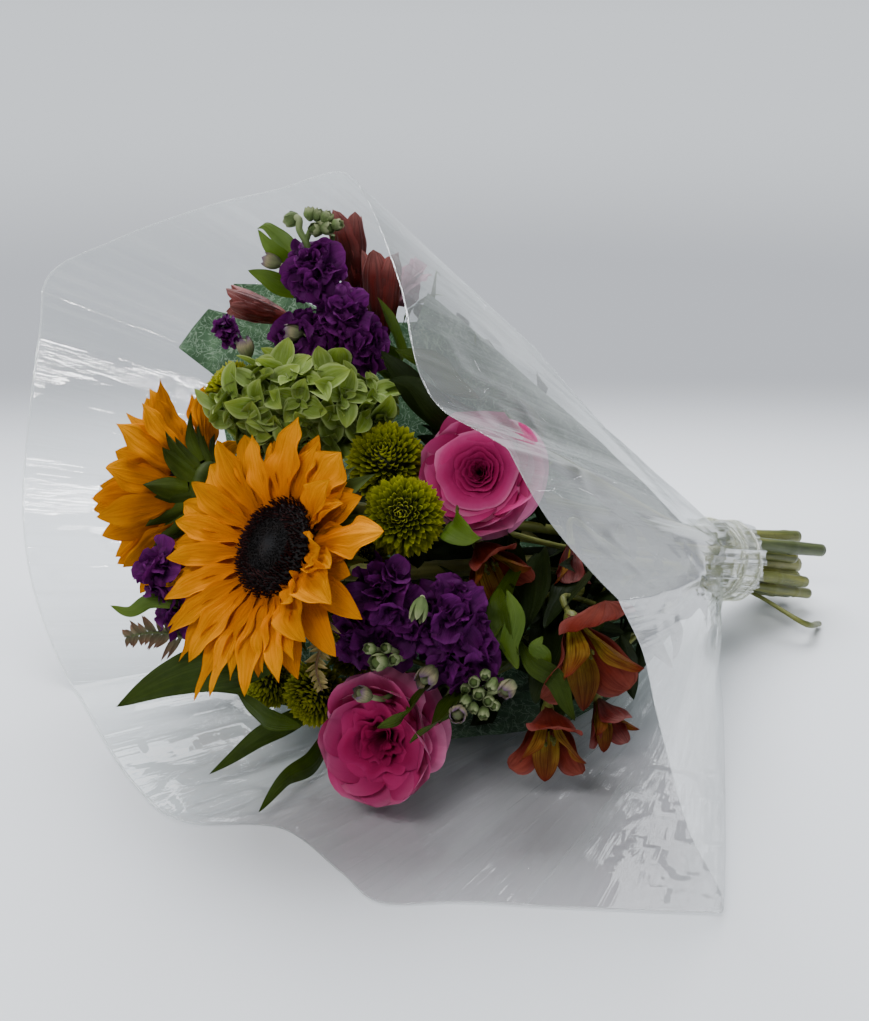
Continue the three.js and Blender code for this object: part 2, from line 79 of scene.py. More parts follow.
CORNERS = 256


def wander(x, y, seed, period=CORNERS):
    """Smooth noise in -1..1: random values at whole-number corners, blended by a smooth step. It repeats in x
    after period corners."""
    table = np.random.default_rng(seed).uniform(-1, 1, (CORNERS, CORNERS))
    xi, yi = np.floor(x).astype(int), np.floor(y).astype(int)
    fx, fy = smooth(x - xi, 0, 1), smooth(y - yi, 0, 1)
    x0, x1 = xi % period, (xi + 1) % period
    y0, y1 = yi % CORNERS, (yi + 1) % CORNERS
    near = table[x0, y0] * (1 - fx) + table[x1, y0] * fx
    far = table[x0, y1] * (1 - fx) + table[x1, y1] * fx
    return near * (1 - fy) + far * fy


def curve(points, shares, closed=False):
    """Points at the given shares (0..1) of a Catmull-Rom spline, with knots a square root of distance apart."""
    p = np.asarray(points, float)
    if closed:
        ext = np.vstack([p[-1:], p, p[:2]])
        spans = len(p)
    else:
        ext = np.vstack([2 * p[:1] - p[1:2], p, 2 * p[-1:] - p[-2:-1]])
        spans = len(p) - 1
    at = np.asarray(shares, float) * spans
    i = np.clip(at.astype(int), 0, spans - 1)
    w = (at - i)[:, None]
    p0, p1, p2, p3 = ext[i], ext[i + 1], ext[i + 2], ext[i + 3]
    d0, d1, d2 = (
        np.maximum(np.linalg.norm(b - a, axis=1, keepdims=True) ** 0.5, 1e-3)
        for a, b in ((p0, p1), (p1, p2), (p2, p3))
    )
    m1 = d1 * ((p1 - p0) / d0 - (p2 - p0) / (d0 + d1) + (p2 - p1) / d1)
    m2 = d1 * ((p2 - p1) / d1 - (p3 - p1) / (d1 + d2) + (p3 - p2) / d2)
    return (
        p1 * (2 * w**3 - 3 * w**2 + 1)
        + m1 * (w**3 - 2 * w**2 + w)
        + p2 * (3 * w**2 - 2 * w**3)
        + m2 * (w**3 - w**2)
    )


def evenly(points, count):
    """count points along the spline through the points, an equal length apart."""
    line = curve(points, np.linspace(0, 1, 40 * len(points)))
    run = np.concatenate([[0], np.cumsum(np.linalg.norm(np.diff(line, axis=0), axis=1))])
    want = np.linspace(0, run[-1], count)
    return np.stack([np.interp(want, run, line[:, c]) for c in range(3)], -1)


def flower_axes(faces):
    """x to the viewer's right, y upwards in the flower's plane, z the way the flower faces."""
    z = unit(faces)
    x = unit(CAMERA_RIGHT - z * (CAMERA_RIGHT @ z))
    return x, np.cross(z, x), z


def around(axes, degrees):
    """Directions in a flower's plane at these angles, anticlockwise from its x."""
    x, y, _ = axes
    a = np.radians(np.atleast_1d(degrees))[:, None]
    return np.cos(a) * x + np.sin(a) * y


# ---- surfaces ----


def blades(
    base, out, up, length, width, bend=0.0, curl=0.0, peak=0.5, taper=0.8, stalk=0.15, cup=0.0,
    fold=0.0, twist=0.0, wave=0.0, waves=3.0, ribs=0.0, rib_count=3.0, grid=(11, 7), seed=0, late=1.6,
):
    """Petals or leaves as grids. At a share s of its length a midrib points bend + curl * s^late radians
    from out towards up. At t in -1..1 across, a point lies half * t to the side, where half is width / 2
    times sin(pi * s^e)^taper, widest at s = peak, and never less than a stalk. It is lifted by half *
    (cup * t^2 + fold * |t|), by edge waves width * wave * |t|^1.5 * sin(waves * 2 pi s + phase) and by ribs
    width * ribs * cos(rib_count * pi * t), and turned about the midrib by twist * s."""
    base, out, up = (np.atleast_2d(np.asarray(a, float)) for a in (base, out, up))
    k = max(len(base), len(out), len(up), np.size(length), np.size(bend), np.size(width))
    base, out, up = (np.broadcast_to(a, (k, 3)) for a in (base, out, up))
    out = unit(out)
    up = unit(up - out * (up * out).sum(-1, keepdims=True))
    side = np.cross(up, out)
    per = lambda x: np.broadcast_to(np.asarray(x, float), (k,))[:, None, None]
    m, n = grid
    s = np.linspace(0, 1, m)[None, :, None]
    t = np.linspace(-1, 1, n)[None, None, :]
    angle = per(bend) + per(curl) * s**late
    step = per(length) / (m - 1)
    none = np.zeros((k, 1, 1))
    sums = lambda f: step * np.concatenate([none, np.cumsum((f[:, 1:] + f[:, :-1]) / 2, 1)], 1)
    run, rise = sums(np.cos(angle)), sums(np.sin(angle))
    power = np.log(0.5) / np.log(per(peak))
    hump = np.maximum(np.sin(np.pi * s**power), 0) ** per(taper)
    half = per(width) / 2 * np.maximum(hump, per(stalk) * (1 - s) ** 2)
    draw = np.random.default_rng(seed)
    phase = draw.uniform(0, 2 * np.pi, (k, 1, 1))
    edge = np.abs(t) ** 1.5 * np.sin(per(waves) * 2 * np.pi * s + phase + 1.4 * np.sign(t))
    lift = half * (per(cup) * t**2 + per(fold) * np.abs(t)) + per(width) * per(wave) * hump * edge
    lift = lift + per(width) * per(ribs) * np.cos(per(rib_count) * np.pi * t) * hump
    turn = per(twist) * s
    o, u, w = (a[:, None, None, :] for a in (out, up, side))
    lean = angle[..., None]
    normal = -np.sin(lean) * o + np.cos(lean) * u
    c, z = np.cos(turn)[..., None], np.sin(turn)[..., None]
    sideways, normal = c * w + z * normal, c * normal - z * w
    points = base[:, None, None, :] + run[..., None] * o + rise[..., None] * u
    points = points + (half * t)[..., None] * sideways + lift[..., None] * normal
    tone = np.broadcast_to(draw.uniform(0, 1, (k, 1, 1)), (k, m, n))
    return grid_of(points, np.broadcast_to(s, (k, m, n)), np.broadcast_to(t, (k, m, n)), tone)


def grid_of(points, along, across, tone, material=0, wrap=False):
    """A set of k grids (k, m, n, 3) with the three values that materials read at each point."""
    shape = points.shape[:3]
    values = [np.broadcast_to(np.asarray(v, float), shape) for v in (along, across, tone)]
    return {"points": points, "values": values, "material": material, "wrap": wrap}


def using(grid, material):
    """The same grid with another of its piece's materials."""
    return {**grid, "material": material}


def tube(path, radius, sides=9, tone=0.5, cut=False, material=0):
    """A round profile carried along a path. radius is one number or one for each point of the path. Both ends
    close on the path, and a cut end counts as along = -1 so that its flesh can be paler."""
    path = np.asarray(path, float)
    m = len(path)
    tangent = unit(np.gradient(path, axis=0))
    _, _, spread = np.linalg.svd(tangent)
    side = unit(np.cross(tangent, spread[-1]))
    other = np.cross(tangent, side)
    radius = np.broadcast_to(np.asarray(radius, float), (m,))
    order = np.concatenate([[0, 0, 0], np.arange(m), [m - 1, m - 1]])
    scale = np.concatenate([[0.0, 0.6, 0.96], np.ones(m), [0.7, 0.0]])
    along = np.concatenate([[-1.0 if cut else 0.0] * 3, np.linspace(0, 1, m), [1, 1]])
    angle = np.arange(sides) / sides * 2 * np.pi
    turn = angle[None, :, None]
    ring = np.cos(turn) * side[order][:, None] + np.sin(turn) * other[order][:, None]
    points = path[order][:, None] + ring * (radius[order] * scale)[:, None, None]
    across = (angle / np.pi - 1)[None, None, :]
    return grid_of(points[None], along[None, :, None], across, tone, material, wrap=True)


def ball(at, axes, sizes, lumps=0.05, rings=12, seed=0, material=0, tone=0.5):
    """A ball of half sizes along three axes, swollen by lumps * smooth noise; its poles are closed."""
    polar = np.linspace(0, np.pi, rings)[:, None]
    turn = np.arange(rings * 2)[None, :] / (rings * 2) * 2 * np.pi
    swell = 1 + lumps * wander(turn / np.pi * 3, polar * 2, seed, 6)
    swell = np.where((polar < 1e-6) | (polar > np.pi - 1e-6), 1.0, swell)
    ring = np.sin(polar)
    local = np.stack([ring * np.cos(turn), ring * np.sin(turn), np.cos(polar) + 0 * turn], -1)
    local = local * swell[..., None] * np.asarray(sizes, float)
    points = np.asarray(at, float) + local @ np.stack(axes)
    along, across = (1 - polar / np.pi)[None], (turn / np.pi - 1)[None]
    return grid_of(points[None, ::-1], along, across, tone, material, wrap=True)


# ---- pieces ----


def faces_between(number, wrap=True):
    """Faces of a set of numbered grids (k, m, n), each between four neighbouring points."""
    if wrap:
        number = np.concatenate([number, number[:, :, :1]], 2)
    corners = (number[:, :-1, :-1], number[:, 1:, :-1], number[:, 1:, 1:], number[:, :-1, 1:])
    return np.stack([c.reshape(-1) for c in corners], -1)


def put_in(name, data):
    """A new object in the scene, at the origin."""
    made = bpy.data.objects.new(name, data)
    bpy.context.scene.collection.objects.link(made)
    return made


def piece(name, grids, materials, nodes=()):
    """One mesh from sets of grids, which takes the place of these nodes of the frame."""
    points, faces, values, slots = [], [], [], []
    start = 0
    for part in grids:
        shape = part["points"].shape[:3]
        count = math.prod(shape)
        quads = faces_between(start + np.arange(count).reshape(shape), part["wrap"])
        points.append(part["points"].reshape(-1, 3))
        values.append(np.stack([v.reshape(-1) for v in part["values"]], -1))
        faces.append(quads)
        slots.append(np.full(len(quads), part["material"]))
        start += count
    points, faces, values, slots = (np.concatenate(sets) for sets in (points, faces, values, slots))
    mesh = bpy.data.meshes.new(name)
    mesh.vertices.add(len(points))
    mesh.vertices.foreach_set("co", ((points + FLOOR_CENTRE) * MM).astype(np.float32).ravel())
    mesh.loops.add(faces.size)
    mesh.loops.foreach_set("vertex_index", faces.astype(np.int32).ravel())
    mesh.polygons.add(len(faces))
    mesh.polygons.foreach_set("loop_start", np.arange(0, faces.size, 4, dtype=np.int32))
    mesh.polygons.foreach_set("material_index", slots.astype(np.int32))
    mesh.polygons.foreach_set("use_smooth", np.ones(len(faces), bool))
    mesh.update(calc_edges=True)
    for column, label in enumerate(("along", "across", "tone")):
        layer = mesh.attributes.new(label, "FLOAT", "POINT")
        layer.data.foreach_set("value", values[:, column].astype(np.float32))
    for material in materials:
        mesh.materials.append(material)
    made = put_in(name, mesh)
    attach(made, "root")
    if nodes:
        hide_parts(*nodes)
    return made


# ---- materials ----


def colour(code):
    """Linear red, green, blue and alpha from six hexadecimal digits."""
    c = np.array([int(code[i : i + 2], 16) for i in (0, 2, 4)]) / 255
    linear = np.where(c <= 0.04045, c / 12.92, ((c + 0.055) / 1.055) ** 2.4)
    return (*linear.tolist(), 1.0)


class Shade:
    """A material's nodes. Each call adds one node and gives its output."""

    def __init__(self, name):
        self.material = bpy.data.materials.new(name)
        self.material.use_nodes = True
        self.tree = self.material.node_tree
        self.tree.nodes.clear()

    def add(self, kind, inputs=None, output=0, **settings):
        node = self.tree.nodes.new("ShaderNode" + kind)
        for key, value in settings.items():
            setattr(node, key, value)
        for key, value in (inputs or {}).items():
            if isinstance(value, bpy.types.NodeSocket):
                self.tree.links.new(value, node.inputs[key])
            else:
                node.inputs[key].default_value = value
        return node.outputs[output] if node.outputs else node

    def value(self, name):
        return self.add("Attribute", output="Fac", attribute_name=name)

    def math(self, operation, a, b=0.0, c=0.0):
        return self.add("Math", {0: a, 1: b, 2: c}, operation=operation)

    def mix(self, share, a, b, blend="MIX"):
        return self.add("MixRGB", {0: share, 1: a, 2: b}, blend_type=blend)

    def place(self):
        return self.add("TexCoord", output="Object")

    def noise(self, scale, vector=None, detail=3.0, rough=0.5, twist=0.0):
        inputs = {"Vector": vector or self.place(), "Scale": scale, "Detail": detail, "Roughness": rough,
                  "Distortion": twist}
        return self.add("TexNoise", inputs)

    def grain(self, along, across, drift=40.0):
        """A vector that follows the surface: lengthwise lines when across is large and along is small."""
        parts = (
            self.math("MULTIPLY", self.value("across"), across),
            self.math("MULTIPLY", self.value("along"), along),
            self.math("MULTIPLY", self.value("tone"), drift),
        )
        return self.add("CombineXYZ", {0: parts[0], 1: parts[1], 2: parts[2]})

    def ramp(self, share, stops):
        """Colours by a share: stops are words, each place from 0 to 1 and then its colour's six digits."""
        words = stops.split()
        return self.steps(share, [(float(at), colour(code)) for at, code in zip(words[::2], words[1::2])])

    def rise(self, share, low, high, top=1.0):
        """0 up to low, an even rise, and top from high on."""
        return self.steps(share, [(low, (0.0, 0.0, 0.0, 1.0)), (high, (top, top, top, 1.0))])

    def steps(self, share, stops):
        node = self.tree.nodes.new("ShaderNodeValToRGB")
        for _ in stops[2:]:
            node.color_ramp.elements.new(0.5)
        for element, (at, shown) in zip(node.color_ramp.elements, stops):
            element.position, element.color = at, shown
        self.tree.links.new(share, node.inputs[0])
        return node.outputs[0]

    def stain(self, base, where, share, code):
        """The base with this share of a colour where the mask is 1."""
        return self.mix(self.math("MULTIPLY", where, share), base, colour(code))

    def fade(self, value, start, end, first=0.0, last=1.0, kind="SMOOTHSTEP"):
        """first where a value is at start, last where it is at end, and a change from one to the other."""
        return self.add("MapRange", {0: value, 1: start, 2: end, 3: first, 4: last}, interpolation_type=kind)

    def bump(self, height, strength, distance):
        return self.add("Bump", {"Height": height, "Strength": strength, "Distance": distance})

    def finish(self, surface):
        self.add("OutputMaterial", {0: surface})
        return self.material


def petal_stuff(
    name, stops, matt=0.55, through=0.3, lines=(0.25, "000000", 9), mottle=(0.2, "000000"), relief=0.4, glow=1.0,
    specular=0.2, edge=None,
):
    """Petal or leaf: colour along it by a ramp, then fine lengthwise lines (share, colour, count), soft mottling
    and a rim (share, colour). The share through is lit from behind, by glow times its colour."""
    s = Shade(name)
    share, code, count = lines
    streaks = s.noise(1.0, s.grain(1.6, count), 4.0, 0.65)
    base = s.stain(s.ramp(s.value("along"), stops), s.rise(streaks, 0.45, 0.68), share, code)
    base = s.stain(base, s.rise(s.noise(140.0), 0.4, 0.7), *mottle)
    if edge:
        base = s.stain(base, s.rise(s.math("ABSOLUTE", s.value("across")), 0.72, 0.98), *edge)
    dim = s.math("MULTIPLY_ADD", s.value("tone"), 0.35, 0.8)
    base = s.mix(1.0, base, s.add("CombineColor", {0: dim, 1: dim, 2: dim}), "MULTIPLY")
    height = s.math("ADD", streaks, s.math("MULTIPLY", s.noise(900.0, None, 2.0), 0.25))
    normal = s.bump(height, relief, 0.0006)
    inputs = {"Base Color": base, "Roughness": matt, "Specular IOR Level": specular, "Normal": normal}
    solid = s.add("BsdfPrincipled", inputs)
    lit = s.mix(1.0, base, (glow, glow, glow, 1.0), "MULTIPLY")
    thin = s.add("BsdfTranslucent", {"Color": lit, "Normal": normal})
    return s.finish(s.add("MixShader", {0: through, 1: solid, 2: thin}))


def stem_stuff(name, stops, matt=0.45, fuzz=0.1):
    """Stem: lengthwise streaks over its green, spots and small scars, and pale wet flesh at the cut end."""
    s = Shade(name)
    skin = s.ramp(s.noise(1.0, s.grain(5.0, 3.0), 4.0, 0.6), stops)
    skin = s.stain(skin, s.rise(s.noise(260.0, None, 4.0, 0.7), 0.58, 0.7), 0.5, "2f2a12")
    flesh = s.ramp(s.noise(1500.0, None, 2.0), "0.35 8d8a4c 0.65 c9c48e")
    cut = s.math("LESS_THAN", s.value("along"), -0.4)
    normal = s.bump(s.noise(1.0, s.grain(8.0, 8.0)), 0.4, 0.0008)
    inputs = {"Base Color": s.mix(cut, skin, flesh), "Roughness": matt, "Normal": normal,
              "Sheen Weight": fuzz, "Sheen Roughness": 0.5, "Specular IOR Level": 0.35}
    return s.finish(s.add("BsdfPrincipled", inputs))


SUN_PETAL = petal_stuff(
    "sunflower_ray_petal", "0 a45000 0.25 c67000 0.7 d68800 1 dc9200", matt=0.75, through=0.22,
    lines=(0.4, "944600", 8), mottle=(0.2, "be6600"), relief=1.2, specular=0.02,
)
SUN_PETAL_BACK = petal_stuff(
    "sunflower_outer_petal", "0 985400 0.3 bc6c00 1 d28400", matt=0.75, through=0.25, lines=(0.35, "8c4400", 8),
    mottle=(0.2, "b46200"), relief=1.2, specular=0.02,
)
SEED_DARK = petal_stuff(
    "sunflower_disc_florets", "0 0d0405 0.6 1c0a0a 1 42100d", matt=0.7, through=0, lines=(0.2, "000000", 4),
    mottle=(0.3, "050202"),
)
SEED_MIDDLE = petal_stuff(
    "sunflower_disc_middle", "0 07070a 1 17110f", matt=0.65, through=0, lines=(0.2, "000000", 4),
    mottle=(0.4, "241a16"), relief=0.8, specular=0.25,
)
CALYX_GREEN = petal_stuff(
    "sunflower_calyx_green", "0 4e5e16 0.5 36440a 1 2a3606", matt=0.6, through=0.12, lines=(0.3, "5c6a24", 6),
    mottle=(0.3, "1a2404"), relief=0.7,
)
ROSE_PINK = petal_stuff(
    "rose_pink", "0 4c0022 0.42 8c0c46 0.68 b02a66 0.86 c0467e 1 da84ac", matt=0.75, through=0.26,
    lines=(0.12, "982860", 9), mottle=(0.15, "b03c72"), relief=0.35, glow=1.05, specular=0.06,
)
ROSE_HOT = petal_stuff(
    "rose_deep_pink", "0 540022 0.4 8a1244 0.72 aa3066 0.88 b84a7a 1 d47ea4", matt=0.75, through=0.26,
    lines=(0.14, "8c1c4c", 9), mottle=(0.16, "a82860"), relief=0.35, glow=1.05, specular=0.06,
)
ROSE_PALE = petal_stuff(
    "rose_pale_pink", "0 a85a76 0.5 cc86a0 1 dca8bc", matt=0.7, through=0.3, lines=(0.15, "b06585", 10),
    mottle=(0.1, "c67f9b"), relief=0.35,
)
SEPAL_GREEN = petal_stuff(
    "rose_sepal_green", "0 4a5a22 0.6 647a34 1 768a42", matt=0.6, through=0.2, lines=(0.25, "34441a", 6),
    mottle=(0.2, "38481c"), relief=0.5,
)
# The floret green darkens to near-black at the florets' foot: painted shade deep in the head, over their own
# green.
BUTTON_GREEN = petal_stuff(
    "button_floret_green", "0 141a02 0.38 4c560a 0.75 8e9418 1 c0be40", matt=0.6, through=0.2,
    lines=(0.1, "4d5008", 5), mottle=(0.1, "5a5c0a"), relief=0.3,
)
BRACT_GREEN = petal_stuff(
    "green_bract", "0 9aaa58 0.16 6c8228 0.6 62781e 1 849634", matt=0.6, through=0.2, lines=(0.4, "94a460", 5),
    mottle=(0.25, "40581f"), relief=0.7, specular=0.3, edge=(0.6, "a2b070"),
)
STOCK_PURPLE = petal_stuff(
    "stock_purple", "0 220420 0.35 420644 0.8 5a0c5a 1 6c166c", matt=0.65, through=0.24, lines=(0.4, "1e0422", 7),
    mottle=(0.3, "2c0634"), relief=0.8, glow=1.2, specular=0.14,
)
STOCK_GREEN = petal_stuff(
    "stock_grey_green", "0 46582a 0.6 687a48 1 a4aa80", matt=0.75, through=0.15, lines=(0.4, "34421f", 5),
    mottle=(0.45, "50603a"), relief=0.8,
)
STOCK_BUD = petal_stuff(
    "stock_bud_tip", "0 525e38 0.45 747a54 0.7 98906c 1 5e3a6c", matt=0.7, through=0.15, lines=(0.5, "4a2c50", 6),
    mottle=(0.3, "5c5a40"), relief=0.6,
)
LILY_OUTER = petal_stuff(
    "alstroemeria_salmon", "0 341204 0.3 5a1a0c 0.7 78281a 1 90483a", matt=0.6, through=0.22,
    lines=(0.6, "420a06", 9), mottle=(0.45, "541210"), relief=1.1, glow=1.1, specular=0.14, edge=(0.3, "a0605c"),
)
LILY_DARK = petal_stuff(
    "alstroemeria_dark_red", "0 3a340e 0.2 4a140a 0.72 681a14 1 9c5e58", matt=0.5, through=0.2,
    lines=(0.65, "240504", 9), mottle=(0.35, "3c0a08"), relief=1.1, glow=1.05, specular=0.3, edge=(0.6, "8c3a36"),
)
LILY_INNER = petal_stuff(
    "alstroemeria_yellow_streaked", "0 5a4e12 0.3 a09024 0.62 94702a 1 6c1c16", matt=0.6, through=0.24,
    lines=(0.95, "380806", 9), mottle=(0.5, "6c2410"), relief=0.9, specular=0.12,
)
LEAF_DARK = petal_stuff(
    "leaf_dark_green", "0 3e5010 0.5 2c3c08 1 36460e", matt=0.45, through=0.12, lines=(0.35, "4a5c18", 9),
    mottle=(0.3, "182404"), relief=0.9, specular=0.12,
)
# A near-black green for the leaves that fill the gaps between the flowers: leaf green darkened as painted shade.
LEAF_SHADE_GREEN = petal_stuff(
    "leaf_green_painted_shade", "0 222e0c 0.5 161f06 1 1e2a0a", matt=0.5, through=0.1, lines=(0.3, "2c3812", 9),
    mottle=(0.3, "0c1402"), relief=0.8, specular=0.15,
)
LEAF_MID = petal_stuff(
    "leaf_mid_green", "0 526618 0.5 405810 1 52681a", matt=0.5, through=0.22, lines=(0.3, "647a2c", 8),
    mottle=(0.25, "304608"), relief=0.6, specular=0.25,
)
NEEDLE = petal_stuff(
    "needle_grey_green", "0 5a5f44 0.5 66543e 1 6c4438", matt=0.6, through=0.1, lines=(0.2, "3c3a28", 3),
    mottle=(0.3, "4a3a2e"), relief=0.3,
)
DRY_LEAF = petal_stuff(
    "dry_leaf", "0 6a6238 0.5 948450 1 a89668", matt=0.75, through=0.2, lines=(0.3, "5c5028", 4),
    mottle=(0.3, "74683c"),
)
STEM_GREEN = stem_stuff("stem_green", "0.3 3e4614 0.5 5e6226 0.72 80803c", matt=0.45, fuzz=0.03)
STEM_DARK = stem_stuff("stem_dark_green", "0.3 28320c 0.55 485222 0.75 6c6a32", matt=0.45, fuzz=0.03)
STEM_THICK = stem_stuff("stem_pale_green", "0.3 585c26 0.5 787838 0.72 94904e", matt=0.5, fuzz=0.1)
STEM_BROWN = stem_stuff("stem_brown", "0.3 3c2a16 0.55 5e4422 0.75 75602f")


def tissue_stuff():
    """Non-woven tissue: medium green, thin places, and pale fibres along the level lines of warped noise."""
    s = Shade("tissue_fibres")
    base = s.ramp(s.noise(90.0, None, 4.0, 0.6), "0.3 344c34 0.55 445f44 0.75 5e7a5a")
    fibres = None
    for seed, scale in enumerate((70.0, 95.0, 130.0)):
        warped = s.noise(scale, s.add("Mapping", {0: s.place(), 1: (seed * 3.1, seed * 1.7, 0.0)}), 2.0, 0.4, 1.5)
        far = s.math("ABSOLUTE", s.math("SUBTRACT", warped, 0.5))
        line = s.math("SUBTRACT", 1.0, s.rise(far, 0.004, 0.014))
        fibres = line if fibres is None else s.math("MAXIMUM", fibres, line)
    base = s.stain(base, fibres, 0.55, "98ac94")
    height = s.math("ADD", s.math("MULTIPLY", fibres, 0.5), s.noise(700.0))
    normal = s.bump(height, 0.5, 0.0005)
    solid = s.add("BsdfPrincipled", {"Base Color": base, "Roughness": 0.85, "Normal": normal,
                                     "Sheen Weight": 0.3, "Specular IOR Level": 0.2})
    thin = s.add("BsdfTranslucent", {"Color": base, "Normal": normal})
    return s.finish(s.add("MixShader", {0: 0.35, 1: solid, 2: thin}))


def film_stuff(name, veil, gloss, tint="f8fafa", most=0.45, floor_shade_tint="dcd9da"):
    """Clear film: see-through, with the gloss of two thin faces and a milky veil that is denser on creases and
    cut edges; on the cut edge the extra white is partly a painted highlight. Cells drawn out along the cone each
    tilt their own way, so that the light breaks on flat facets with straight edges; fine lengthwise lines run over
    them. It dulls what is under it to tint, and where it lies on the floor to a darker grey, which is painted
    shade under the bunch. gloss is the strength of its reflection, and most the largest share of it."""
    s = Shade(name)
    drawn = s.noise(1.0, s.grain(1.3, 80.0, 1.0), 3.0, 0.6, 0.3)
    height = s.math("MULTIPLY", drawn, 0.25)
    for across, along, tilt in ((30.0, 1.8, 0.5), (70.0, 7.0, 0.2)):
        grain = s.grain(along, across, 0.0)
        cells = s.add("TexVoronoi", {"Vector": grain, "Scale": 1.0, "Randomness": 1.0})
        shown = cells.node.outputs
        turn = s.add("VectorMath", {0: shown["Color"], 1: (0.5, 0.5, 0.5)}, operation="SUBTRACT")
        away = s.add("VectorMath", {0: grain, 1: shown["Position"]}, operation="SUBTRACT")
        slope = s.add("VectorMath", {0: turn, 1: away}, "Value", operation="DOT_PRODUCT")
        height = s.math("MULTIPLY_ADD", slope, tilt, height)
    normal = s.bump(height, 0.5, 0.004)
    face = s.add("Fresnel", {"IOR": 1.46, "Normal": normal})
    shine = s.math("MINIMUM", s.math("MULTIPLY", face, gloss), most)
    streaks = s.rise(drawn, 0.5, 0.7, 0.12)
    milky = s.math("ADD", s.math("MULTIPLY_ADD", s.value("tone"), 0.5, veil), streaks)
    # Where it lies on the floor the film is tinted a darker grey: painted shade under the bunch.
    side = s.math("ABSOLUTE", s.math("SUBTRACT", s.value("across"), 0.09))
    lies = s.math("MULTIPLY", s.fade(side, 0.26, 0.14), s.fade(s.value("along"), 0.2, 0.55))
    clear = s.add("BsdfTransparent", {"Color": s.mix(lies, colour(tint), colour(floor_shade_tint))})
    milk = colour("dfe4e2")
    matt = s.add("BsdfPrincipled", {"Base Color": milk, "Roughness": 0.4, "Normal": normal})
    through = s.add("BsdfTranslucent", {"Color": milk, "Normal": normal})
    white = s.add("MixShader", {0: 0.45, 1: matt, 2: through})
    body = s.add("MixShader", {0: s.math("MINIMUM", milky, 0.95), 1: clear, 2: white})
    mirror = s.add("BsdfGlossy", {"Color": (1.0, 1.0, 1.0, 1.0), "Roughness": 0.025, "Normal": normal})
    return s.finish(s.add("MixShader", {0: shine, 1: body, 2: mirror}))


TISSUE_GREEN = tissue_stuff()
CLEAR_FILM = film_stuff("clear_film", veil=0.09, gloss=1.1)
CLEAR_TAPE = film_stuff("clear_tape", veil=0.0, gloss=1.0, tint="f0f0e0", most=0.35, floor_shade_tint="f0f0e0")

# ---- sunflowers ----


def seed_head(at, axes, radius, dome, seed, count=900):
    """The disc: florets at the square root of their number along golden-angle spirals on a shallow dome.
    The outer ones stand as spikes that lean outwards, the middle ones are low and blunt."""
    draw = np.random.default_rng(seed)
    number = np.arange(count)
    share = np.sqrt((number + 0.5) / count)
    angle = number * GOLDEN + draw.uniform(-2, 2, count)
    outward = around(axes, angle)
    height = dome * (1 - share**2) - 1.5 * np.exp(-((share / 0.25) ** 2))
    base = at + outward * (radius * share)[:, None] + axes[2] * height[:, None]
    spiky = smooth(share, 0.45, 0.62)
    lean = axes[2] + outward * (0.15 + 0.75 * share**3)[:, None] + draw.normal(0, 0.12, (count, 3))
    length = 1.9 + 2.8 * spiky * draw.uniform(0.6, 1.15, count)
    florets = blades(
        base, lean, outward, length, 1.5 - 0.3 * spiky, curl=-0.5, peak=0.4, taper=0.7, stalk=0.7, cup=1.2,
        grid=(4, 3), seed=seed,
    )
    outer = spiky > 0.5
    spots, values = florets["points"], florets["values"]
    pick = lambda keep: {**florets, "points": spots[keep], "values": [v[keep] for v in values]}
    wide = radius * 0.97
    bed = ball(at + axes[2] * (dome * 0.1), axes, (wide, wide, dome * 0.95), 0.02, 14, seed)
    return [pick(outer), using(pick(~outer), 1), using(bed, 1)]


def calyx(at, axes, reach, lift, curl, back, count=22, seed=17):
    """The green behind a head: pointed leaves in two rows, each with a fold along its middle, and the rounded
    back that they grow from, which reaches from the stem to the foot of the petals."""
    draw = np.random.default_rng(seed)
    angle = np.arange(count) * 360 / count + draw.uniform(-7, 7, count)
    outward = around(axes, angle)
    row = np.arange(count) % 2
    base = at + outward * (18 - 3 * row)[:, None] - axes[2] * (6 + 2.2 * row)[:, None]
    size = draw.uniform(0.75, 1.15, count)
    leaves = blades(
        base, outward, axes[2], reach * size, 12 * size, bend=lift + draw.uniform(-0.2, 0.2, count),
        curl=curl + draw.uniform(-0.5, 0.3, count), peak=0.3, taper=1.0, stalk=0.8, cup=0.15, fold=0.35,
        twist=draw.uniform(-0.4, 0.4, count), wave=0.04, waves=2.0, grid=(11, 7), seed=seed,
    )
    return [leaves, ball(at - axes[2] * 7.5, axes, (back, back, 7.5), 0.05, 16, 3)]


